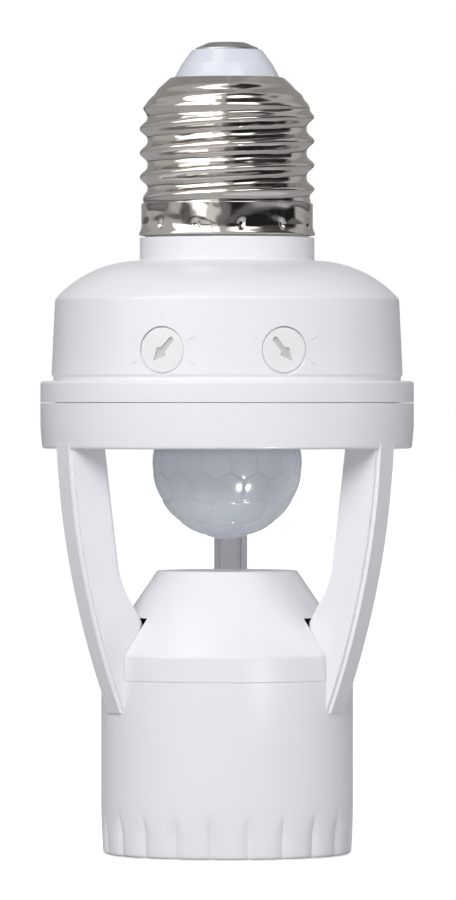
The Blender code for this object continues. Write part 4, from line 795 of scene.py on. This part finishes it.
def make_cover():
    """The cone over the socket, slotted from below round the three braces."""
    slope = math.atan2(COVER_TOP - COVER_BAND_TOP, SKIRT_RADIUS - COVER_TOP_RADIUS)
    across = COVER_WALL / math.sin(slope)
    ceiling = COVER_TOP - COVER_WALL
    corners = [(0, COVER_TOP), (COVER_TOP_RADIUS, COVER_TOP, 0.35), (SKIRT_RADIUS, COVER_BAND_TOP, 1.2),
               (SKIRT_RADIUS, COVER_BOTTOM, 0.06), (COVER_SPIGOT_RADIUS, COVER_BOTTOM),
               (COVER_SPIGOT_RADIUS, COVER_SPIGOT_BOTTOM), (COVER_SPIGOT_BORE, COVER_SPIGOT_BOTTOM),
               (COVER_SPIGOT_BORE, COVER_BORE_TOP), (SKIRT_RADIUS - across, COVER_BAND_TOP),
               (COVER_TOP_RADIUS - across + COVER_WALL / math.tan(slope), ceiling), (0, ceiling)]
    cover = turned("cover_cone", rounded(corners), FINE)
    tools = []
    for degrees in LEG_ANGLES:
        outline = [(SLOT_INSIDE, SLOT_BOTTOM), (SLOT_OUTSIDE, SLOT_BOTTOM), (SLOT_OUTSIDE, SLOT_TOP),
                   (SLOT_INSIDE, SLOT_TOP)]
        tools.append(prism("slot", outline, LEG_THICKNESS + SLOT_PLAY, radial_plane(degrees)))
    carve(cover, tools)
    return even_normals(cover)


def make_wire_strip():
    """The strip that closes the rear leg's groove."""
    edge = leg_inner_edge()
    edge = [toward(edge[0], edge[1], 0.3), *edge[1:-1], toward(edge[-1], edge[-2], STRIP_STOP)]
    inner = offset_line(edge, STRIP_SINK)
    outline = [*inner, *reversed(offset_line(edge, STRIP_SINK + STRIP_THICKNESS))]
    strip = prism("wire_strip", outline, STRIP_WIDTH, radial_plane(LEG_ANGLES[0]), 0.08)
    return even_normals(strip)


# Sensor dome

def cell_middles():
    """The direction of each cell's middle, and its row."""
    middles = []
    for row, (elevation, count, first) in enumerate(LENS_ROWS):
        for cell in range(count):
            up = math.radians(elevation)
            around = math.radians(first + 360 * cell / count)
            level = math.cos(up)
            middles.append((level * math.cos(around), level * math.sin(around), math.sin(up), row))
    return np.array(middles)


def make_lens():
    """The dome's moulded cells: each bulges about its own middle, lower rows over upper ones."""
    middles = cell_middles()
    row = middles[:, 3]
    hold = CELL_HOLD * CELL_HOLD_STEP ** row
    around = FINEST
    rows = LENS_RINGS
    up = np.linspace(-math.pi / 2, math.radians(LENS_EDGE), rows)
    angle = np.arange(around) * 2 * math.pi / around
    grid_up, grid_angle = np.meshgrid(up, angle, indexing="ij")
    level = np.cos(grid_up)
    way = np.stack((level * np.cos(grid_angle), level * np.sin(grid_angle), np.sin(grid_up)), -1)
    near = np.arccos(np.clip(way @ middles[:, :3].T, -1, 1))
    claim = (hold - hold[0]) * math.radians(CELL_HALF_ROW) ** 2 - hold * near ** 2
    weight = np.exp((claim - claim.max(-1, keepdims=True)) / CELL_BLEND)
    weight /= weight.sum(-1, keepdims=True)
    radius = (weight * (LENS_RADIUS - CELL_INSET + CELL_LIP * row - CELL_SAG * near ** 2)).sum(-1)
    ordered = np.sort(claim, axis=-1)
    groove = np.clip(1 - (ordered[..., -1] - ordered[..., -2]) / CELL_GROOVE_WIDTH, 0, 1) ** 2
    verts = way * (radius - CELL_GROOVE_DEPTH * groove)[..., None]
    verts[..., 2] += LENS_CENTRE
    verts = verts.reshape(-1, 3)
    faces = []
    for i in range(rows - 1):
        for k in range(around):
            m = (k + 1) % around
            faces.append((i * around + k, i * around + m, (i + 1) * around + m, (i + 1) * around + k))
    last = (rows - 1) * around
    faces.append(tuple(last + k for k in range(around)))
    dome = solid("dome_cells", verts * MM, faces, 50)
    bottom = LENS_FLANGE_TOP - LENS_FLANGE_THICKNESS
    corners = [(LENS_FLANGE_BORE, bottom), (LENS_FLANGE_RADIUS, bottom, 0.1),
               (LENS_FLANGE_RADIUS, LENS_FLANGE_TOP, 0.1), (LENS_FLANGE_BORE, LENS_FLANGE_TOP)]
    flange = turned("flange", rounded(corners), MEDIUM)
    lens = merged("dome_lens", [dome, flange])
    smooth(lens, 60)
    return lens


# Screw cap

def cap_relief(radius, height, angle):
    """Thread with its run-outs, ripples on the shoulder and dimples on the shell's skirt."""
    turn = (height - SHELL_BOTTOM - THREAD_PHASE) / THREAD_PITCH - angle / (2 * math.pi)
    wave = (0.5 + 0.5 * np.cos(2 * math.pi * turn)) ** THREAD_SHARPNESS
    run_in = (height - THREAD_LOW + 0.5) / THREAD_RUN_IN
    run_out = (THREAD_HIGH + 0.8 - height) / THREAD_RUN_OUT
    fade = ease(np.minimum(run_in, run_out))
    thread = (THREAD_ROOT + (THREAD_CREST - THREAD_ROOT) * wave) * fade + radius * (1 - fade)
    outside = radius > SHELL_INSIDE
    threaded = outside & (height > THREAD_LOW - 0.6) & (height < THREAD_HIGH + 0.8)
    made = np.where(threaded, thread, radius)
    rise = np.clip((height - RIPPLE_LOW) / (RIPPLE_TOP - RIPPLE_LOW), 0, 1)
    ripple = np.cos(2 * math.pi * (height - RIPPLE_PHASE) / RIPPLE_PITCH - angle)
    made = made + RIPPLE_DEPTH * np.sin(math.pi * rise) ** 2 * ripple
    half_count = DIMPLE_COUNT / 2
    beat = np.arcsin(np.sin(half_count * (angle + math.radians(DIMPLE_TURN)))) / half_count
    aside = beat * SHELL_SKIRT_RADIUS
    above = height - DIMPLE_HEIGHT
    away = np.sqrt((aside + DIMPLE_LEAN * above) ** 2 * DIMPLE_ACROSS + above ** 2 * DIMPLE_UPRIGHT)
    dimple = ease(1 - away / DIMPLE_SIZE)
    return np.where(outside & (height < THREAD_LOW - 0.9), made - DIMPLE_DEPTH * dimple, made)


def make_cap_shell():
    """The screw shell: flared foot, plain skirt, round thread, shoulder and rolled mouth."""
    bottom, top = SHELL_BOTTOM, SHELL_TOP
    bore = THREAD_ROOT - SHEET
    rows = int((THREAD_HIGH - THREAD_LOW + 1.4) / THREAD_PITCH * 24)
    foot = [(13.2, bottom + 0.1), (13.2, bottom + 0.28), (13.08, bottom + 0.55), (12.95, bottom + 0.85),
            (12.88, bottom + 1.2)]
    body = [(SHELL_SKIRT_RADIUS, z) for z in np.linspace(bottom + 1.45, THREAD_LOW - 0.65, 26)]
    body += [(12.55, z) for z in np.linspace(THREAD_LOW - 0.55, THREAD_HIGH, rows)]
    shoulder = bezier((12.525, THREAD_HIGH), (10.95, top - 2.1), (8.6, top - 0.1), 48)
    outline = [(12.6, bottom), (13.05, bottom), *foot, *body, *shoulder[1:]]
    outline += [(8.45, top), (8.25, top - 0.05), (8.15, top - 0.35)]
    outline += [*reversed(offset_line(shoulder[1:-1], SHEET)), (bore, THREAD_HIGH), (bore, THREAD_LOW)]
    outline += [(SHELL_SKIRT_BORE, THREAD_LOW - 0.35), (SHELL_SKIRT_BORE, bottom)]
    return turned("cap_thread", outline, FINEST, cap_relief, 0, 60)


def make_cap_cone():
    """The glassy insulator: a cone over the shell's mouth and its hidden body."""
    corners = [(INSULATOR_BORE, CONE_TOP), (CONE_TOP_RADIUS, CONE_TOP, 0.3), (6.75, CONE_TOP - 2.1, 1.5),
               (CONE_FOOT_RADIUS, SHELL_TOP), (CONE_FOOT_RADIUS, SHELL_TOP - 0.95), (9.6, SHELL_TOP - 2.95),
               (INSULATOR_RADIUS, SHELL_TOP - 4.8), (INSULATOR_RADIUS, INSULATOR_BOTTOM),
               (INSULATOR_BORE, INSULATOR_BOTTOM)]
    return even_normals(turned("cap_cone", rounded(corners), MEDIUM))


def make_cap_button():
    """The domed contact on the cone, with its stem."""
    foot = CONE_TOP + BUTTON_SEAM
    corners = [(0, CAP_TOP), (2.7, CAP_TOP - 0.05, 1.6), (4.7, CAP_TOP - 0.9, 0.25), (BUTTON_RADIUS, foot),
               (STEM_RADIUS, foot), (STEM_RADIUS, STEM_BOTTOM), (0, STEM_BOTTOM)]
    return even_normals(turned("cap_button", rounded(corners), MEDIUM))


# Lamp socket and screws

def make_socket_body():
    """The insulating cup in the skirt."""
    flange_bottom = CUP_FLANGE_TOP - CUP_FLANGE_THICKNESS
    lip_top = CUP_BOTTOM + CUP_LIP_HEIGHT
    bore = SOCKET_SHELL_RADIUS + CUP_PLAY
    ceiling = CUP_TOP - CUP_CEILING
    corners = [(0, CUP_TOP), (CUP_TOP_RADIUS, CUP_TOP, 0.2), (CUP_RADIUS, CUP_TOP - CUP_CHAMFER, 0.2),
               (CUP_RADIUS, CUP_FLANGE_TOP), (CUP_FLANGE_RADIUS, CUP_FLANGE_TOP, 0.1),
               (CUP_FLANGE_RADIUS, flange_bottom, 0.1), (CUP_RADIUS, flange_bottom),
               (CUP_RADIUS, CUP_BOTTOM, 0.25), (CUP_LIP_BORE, CUP_BOTTOM, 0.2),
               (CUP_LIP_BORE, lip_top, 0.1), (bore, lip_top), (bore, ceiling), (0, ceiling)]
    return even_normals(turned("socket_cup", rounded(corners), FINE))


def make_socket_thread():
    """The socket's screw shell, whose thread fades out under its flange."""
    low, high = SOCKET_SHELL_BOTTOM, SOCKET_SHELL_TOP

    def form(radius, height, angle):
        wave = 0.5 + 0.5 * np.cos(2 * math.pi * (height / THREAD_PITCH - angle / (2 * math.pi)))
        fade = np.clip((high - 1.2 - height) / 1.5, 0, 1)
        thread = SOCKET_ROOT + (SOCKET_CREST - SOCKET_ROOT) * (wave * fade + 1 - fade)
        return np.where(np.abs(radius - SOCKET_MOUTH) < 0.005, thread, radius)

    inner = [(SOCKET_MOUTH, z) for z in np.linspace(low, high - 0.4, 90)]
    outline = [(SOCKET_SHELL_RADIUS, high), (SOCKET_SHELL_RADIUS, low), *inner, (SOCKET_CREST, high - SHEET),
               (SOCKET_SHELL_FLANGE, high - SHEET), (SOCKET_SHELL_FLANGE, high)]
    return turned("socket_thread", outline, SOCKET_FINE, form, 0, 50)


def make_screw(name, node, place, head, shaft):
    """A pan-head screw from below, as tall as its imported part, with a cross recess."""
    bottom, top = heights(node)
    seat = bottom + SCREW_HEAD_HEIGHT
    corners = [(0, bottom - 0.05), (0.6 * head, bottom - 0.03, 0.8),
               (head, bottom + 0.4 * SCREW_HEAD_HEIGHT, 0.4), (head, seat, 0.08), (shaft, seat),
               (shaft, top - shaft), (0, top)]
    screw = turned(name, rounded(corners), SMALL)
    half = 0.55 * head
    deep = 0.62 * SCREW_HEAD_HEIGHT
    outline = [(-half, -0.7), (half, -0.7), (0.45 * half, deep), (-0.45 * half, deep)]
    tools = []
    for turn in (0, 90):
        side = Matrix.Rotation(math.radians(turn), 4, "Z") @ Matrix.Rotation(math.radians(90), 4, "X")
        tools.append(prism("slot", outline, 0.17 * head, Matrix.Translation((0, 0, bottom * MM)) @ side))
    carve(screw, tools)
    screw.data.transform(Matrix.Translation((place[0] * MM, place[1] * MM, 0)))
    return even_normals(screw)


# Pieces on their bodies

looks = make_materials()


def use(piece, body, slot, *nodes):
    piece.data.materials.clear()
    piece.data.materials.append(looks[slot])
    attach(piece, body)
    if nodes:
        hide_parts(*nodes)


use(make_housing(), "holder", "white_plastic", "upper_housing")
use(make_ticks(), "holder", "white_plastic")
for name, node, side, turn in (("time_dial", "time_knob", -1, TIME_ARROW_TURN),
                               ("lux_dial", "lux_knob", 1, LUX_ARROW_TURN)):
    knob, arrow = make_knob(name, side, turn)
    use(knob, node, "knob_plastic", node)
    use(arrow, node, "knob_plastic")
    # The arrow's floor takes the grey of painted shade.
    arrow.data.materials[0] = looks["arrow_painted_shade"]
use(make_frame(), "holder", "white_plastic", "leg_frame")
use(make_cover(), "holder", "white_plastic", "socket_cover")
use(make_wire_strip(), "holder", "white_plastic", "wire_cover")
use(make_lens(), "holder", "lens_plastic", "lens_dome")
use(make_cap_shell(), "holder", "nickel", "cap_shell")
use(make_cap_cone(), "holder", "insulator", "cap_insulator")
use(make_cap_button(), "holder", "contact_metal", "cap_contact")
use(make_socket_body(), "holder", "white_plastic", "socket_insert")
use(make_socket_thread(), "holder", "nickel", "socket_shell")
for number, degrees in enumerate(SCREW_ANGLES, 1):
    node = f"housing_screw_{number}"
    place = polar(SCREW_PLACE, degrees)
    screw = make_screw(f"ring_screw_{number}", node, place, RING_SCREW_HEAD, RING_SCREW_SHAFT)
    use(screw, "holder", "screw_steel", node)
for number, side in enumerate((-1, 1), 1):
    node = f"socket_screw_{number}"
    place = (side * CUP_SCREW_PLACE, 0)
    screw = make_screw(f"cup_screw_{number}", node, place, CUP_SCREW_HEAD, CUP_SCREW_SHAFT)
    use(screw, "holder", "screw_steel", node)

slot_of = {row["node"]: row["material_slot"] for row in frame["record"]["subparts"]}
for name, thing in frame["nodes"].items():
    thing.data.materials.clear()
    thing.data.materials.append(looks[slot_of[name]])


# Floor, surroundings and lamps, in metres and watts

FLOOR_REACH = 6.0
FLOOR_OPENING = 0.0165
FLOOR_SIDES = 48
FLOOR_DROP = 0.0002
FLOOR_BOUNCE = 0.52
FLOOR_SEEN = 0.70
FLOOR_NEAR = 0.06
FLOOR_FAR = 0.28
WORLD_LEVEL = 0.24
ROOM_SIDE = 0.5

# Panels of the studio as left, right, low, high and soft border in degrees, and brightness
ROOM_PANELS = (
    (-180, -135, -90, 90, 12, 0.32),
    (135, 180, -90, 90, 12, 0.32),
    (-78, 32, -80, -20, 4, 1.0),
    (34, 106, -80, -16, 4, 0.28),
    (-64, -27, -20, 2, 2, 0.03),
    (-24, -5, -40, -22, 3, 0.08),
    (-24, -6, -14, 14, 4, 0.8),
    (-6, 6, -16, 13, 2, 0.2),
    (5, 104, -16, 24, 3, 0.015),
    (-78, -24, 6, 90, 2, 2.7),
    (-20, -5, 16, 62, 4, 2.2),
    (8, 44, 27, 56, 4, 2.4),
    (5, 110, 56, 76, 4, 0.03),
    (50, 104, 14, 46, 6, 0.08),
)

# Lamps as name, azimuth from the front, elevation, distance, size and power
LAMPS = (
    ("key", -12, 32, 1.0, (0.5, 0.5), 7.6),
    ("fill", 80, 4, 1.2, (0.4, 0.5), 3.0),
    ("back", 192, 44, 1.1, (0.6, 0.6), 3.8),
)
LAMP_AIM = 0.06
GLINT_AZIMUTH = 28
GLINT_ELEVATION = -35
GLINT_DISTANCE = 0.08
GLINT_SIZE = 0.010
GLINT_POWER = 0.006
GLINT_SPREAD = 50


def mixed(tree, factor, first, second):
    """The second shader where the factor is 1, and the first where it is 0."""
    node = tree.nodes.new("ShaderNodeMixShader")
    for socket, value in zip(node.inputs, (factor, first, second)):
        tree.links.new(value, socket)
    return node.outputs[0]


def floor_material():
    """Pale and matt; the camera sees it go over into white, and from below it is clear."""
    material = bpy.data.materials.new("pale_floor")
    material.use_nodes = True
    tree = material.node_tree
    tree.nodes.clear()

    def diffuse(level):
        node = tree.nodes.new("ShaderNodeBsdfDiffuse")
        node.inputs["Color"].default_value = (level, level, level, 1)
        return node.outputs[0]

    place = tree.nodes.new("ShaderNodeTexCoord")
    away = tree.nodes.new("ShaderNodeVectorMath")
    away.operation = "LENGTH"
    tree.links.new(place.outputs["Object"], away.inputs[0])
    far = tree.nodes.new("ShaderNodeMapRange")
    limits = (("From Min", FLOOR_NEAR), ("From Max", FLOOR_FAR), ("To Min", FLOOR_SEEN), ("To Max", 1.0))
    for key, number in limits:
        far.inputs[key].default_value = number
    tree.links.new(away.outputs["Value"], far.inputs["Value"])
    glow = tree.nodes.new("ShaderNodeEmission")
    tree.links.new(far.outputs["Result"], glow.inputs["Strength"])
    both = tree.nodes.new("ShaderNodeAddShader")
    tree.links.new(diffuse(FLOOR_SEEN), both.inputs[0])
    tree.links.new(glow.outputs[0], both.inputs[1])
    path = tree.nodes.new("ShaderNodeLightPath")
    side = tree.nodes.new("ShaderNodeNewGeometry")
    clear = tree.nodes.new("ShaderNodeBsdfTransparent")
    above = mixed(tree, path.outputs["Is Camera Ray"], diffuse(FLOOR_BOUNCE), both.outputs[0])
    surface = mixed(tree, side.outputs["Backfacing"], above, clear.outputs[0])
    out = tree.nodes.new("ShaderNodeOutputMaterial")
    tree.links.new(surface, out.inputs["Surface"])
    return material


def make_stage():
    """A pale floor that keeps the holder's shadow.

    Its opening is hidden under the skirt and lets light into the lamp socket.
    """
    mesh = bpy.data.meshes.new("floor")
    count = FLOOR_SIDES
    verts = []
    for radius in (FLOOR_OPENING, FLOOR_REACH):
        verts += [tuple(polar(radius, 360 * side / count)) for side in range(count)]
    faces = [(k, count + k, count + (k + 1) % count, (k + 1) % count) for k in range(count)]
    mesh.from_pydata(verts, [], faces)
    mesh.materials.append(floor_material())
    floor = linked("floor", mesh)
    floor.location.z = -FLOOR_DROP


def make_world():
    """Even light, a room of soft panels for glossy rays, and white for camera and transmission rays."""
    world = bpy.data.worlds.new("studio")
    bpy.context.scene.world = world
    world.use_nodes = True
    tree = world.node_tree
    tree.nodes.clear()

    def feed(socket, value):
        if isinstance(value, (int, float)):
            socket.default_value = value
        else:
            tree.links.new(value, socket)

    def math_node(kind, *values):
        node = tree.nodes.new("ShaderNodeMath")
        node.operation = kind
        for socket, value in zip(node.inputs, values):
            feed(socket, value)
        return node.outputs[0]

    def between(value, low, high, soft):
        """1 inside the band from low to high, with soft borders."""
        ends = []
        for start, end in ((low - soft, low + soft), (high + soft, high - soft)):
            node = tree.nodes.new("ShaderNodeMapRange")
            node.interpolation_type = "SMOOTHSTEP"
            node.inputs["From Min"].default_value = start
            node.inputs["From Max"].default_value = end
            tree.links.new(value, node.inputs["Value"])
            ends.append(node.outputs[0])
        return math_node("MULTIPLY", *ends)

    def background(colour, strength):
        node = tree.nodes.new("ShaderNodeBackground")
        node.inputs["Color"].default_value = (*colour, 1)
        feed(node.inputs["Strength"], strength)
        return node.outputs[0]

    way = tree.nodes.new("ShaderNodeTexCoord")
    split = tree.nodes.new("ShaderNodeSeparateXYZ")
    tree.links.new(way.outputs["Generated"], split.inputs[0])
    x, y, z = split.outputs
    around = math_node("MULTIPLY", math_node("ARCTAN2", x, math_node("MULTIPLY", y, -1)), 180 / math.pi)
    up = math_node("MULTIPLY", math_node("ARCSINE", z), 180 / math.pi)
    level = ROOM_SIDE
    for left, right, low, high, soft, value in ROOM_PANELS:
        node = tree.nodes.new("ShaderNodeMix")
        panel = math_node("MULTIPLY", between(around, left, right, soft), between(up, low, high, soft))
        tree.links.new(panel, node.inputs["Factor"])
        feed(node.inputs[2], level)
        feed(node.inputs[3], value)
        level = node.outputs[0]
    path = tree.nodes.new("ShaderNodeLightPath")
    even = background((0.97, 0.98, 1.0), WORLD_LEVEL)
    room = background((1.0, 0.985, 0.96), level)
    lit = mixed(tree, path.outputs["Is Glossy Ray"], even, room)
    seen = math_node("MAXIMUM", path.outputs["Is Camera Ray"], path.outputs["Is Transmission Ray"])
    out = tree.nodes.new("ShaderNodeOutputWorld")
    tree.links.new(mixed(tree, seen, lit, background((1, 1, 1), 1.0)), out.inputs["Surface"])


def make_lamp(name, azimuth, elevation, distance, target, power):
    """An area lamp aimed at the target height on the axis; azimuth 0 is the front."""
    light = bpy.data.lights.new(name, "AREA")
    light.energy = power
    lamp = bpy.data.objects.new(name, light)
    a, e = math.radians(azimuth), math.radians(elevation)
    way = Vector((math.sin(a) * math.cos(e), -math.cos(a) * math.cos(e), math.sin(e)))
    lamp.location = Vector((0, 0, target)) + way * distance
    lamp.rotation_euler = way.to_track_quat("Z", "Y").to_euler()
    bpy.context.scene.collection.objects.link(lamp)
    return lamp


def make_lamps():
    """Soft lamps that stay out of the reflections, and a small card for the spark on the dome."""
    for name, azimuth, elevation, distance, size, power in LAMPS:
        lamp = make_lamp(name, azimuth, elevation, distance, LAMP_AIM, power)
        lamp.data.shape = "RECTANGLE"
        lamp.data.size, lamp.data.size_y = size
        lamp.visible_glossy = False
    glint = make_lamp("glint", GLINT_AZIMUTH, GLINT_ELEVATION, GLINT_DISTANCE, LENS_CENTRE * MM, GLINT_POWER)
    glint.data.size = GLINT_SIZE
    glint.data.spread = math.radians(GLINT_SPREAD)
    glint.visible_camera = False
    glint.visible_diffuse = False


# Camera, in metres

CAMERA_TURN = 1.4
CAMERA_DISTANCE = 1.125
CAMERA_HEIGHT = 0.068
CAMERA_AIM = Vector((0.000135, 0, 0.06045))
VIEW_HEIGHT = 0.135
SENSOR = 36


def make_camera():
    data = bpy.data.cameras.new("camera")
    data.sensor_width = SENSOR
    data.lens = SENSOR * CAMERA_DISTANCE / VIEW_HEIGHT
    data.clip_start = 0.05
    data.clip_end = 50
    camera = bpy.data.objects.new("camera", data)
    side = math.radians(CAMERA_TURN)
    camera.location = (CAMERA_DISTANCE * math.sin(side), -CAMERA_DISTANCE * math.cos(side), CAMERA_HEIGHT)
    camera.rotation_euler = (camera.location - CAMERA_AIM).to_track_quat("Z", "Y").to_euler()
    bpy.context.scene.collection.objects.link(camera)
    bpy.context.scene.camera = camera


make_stage()
make_world()
make_lamps()
make_camera()
bpy.context.scene.view_settings.view_transform = "Standard"
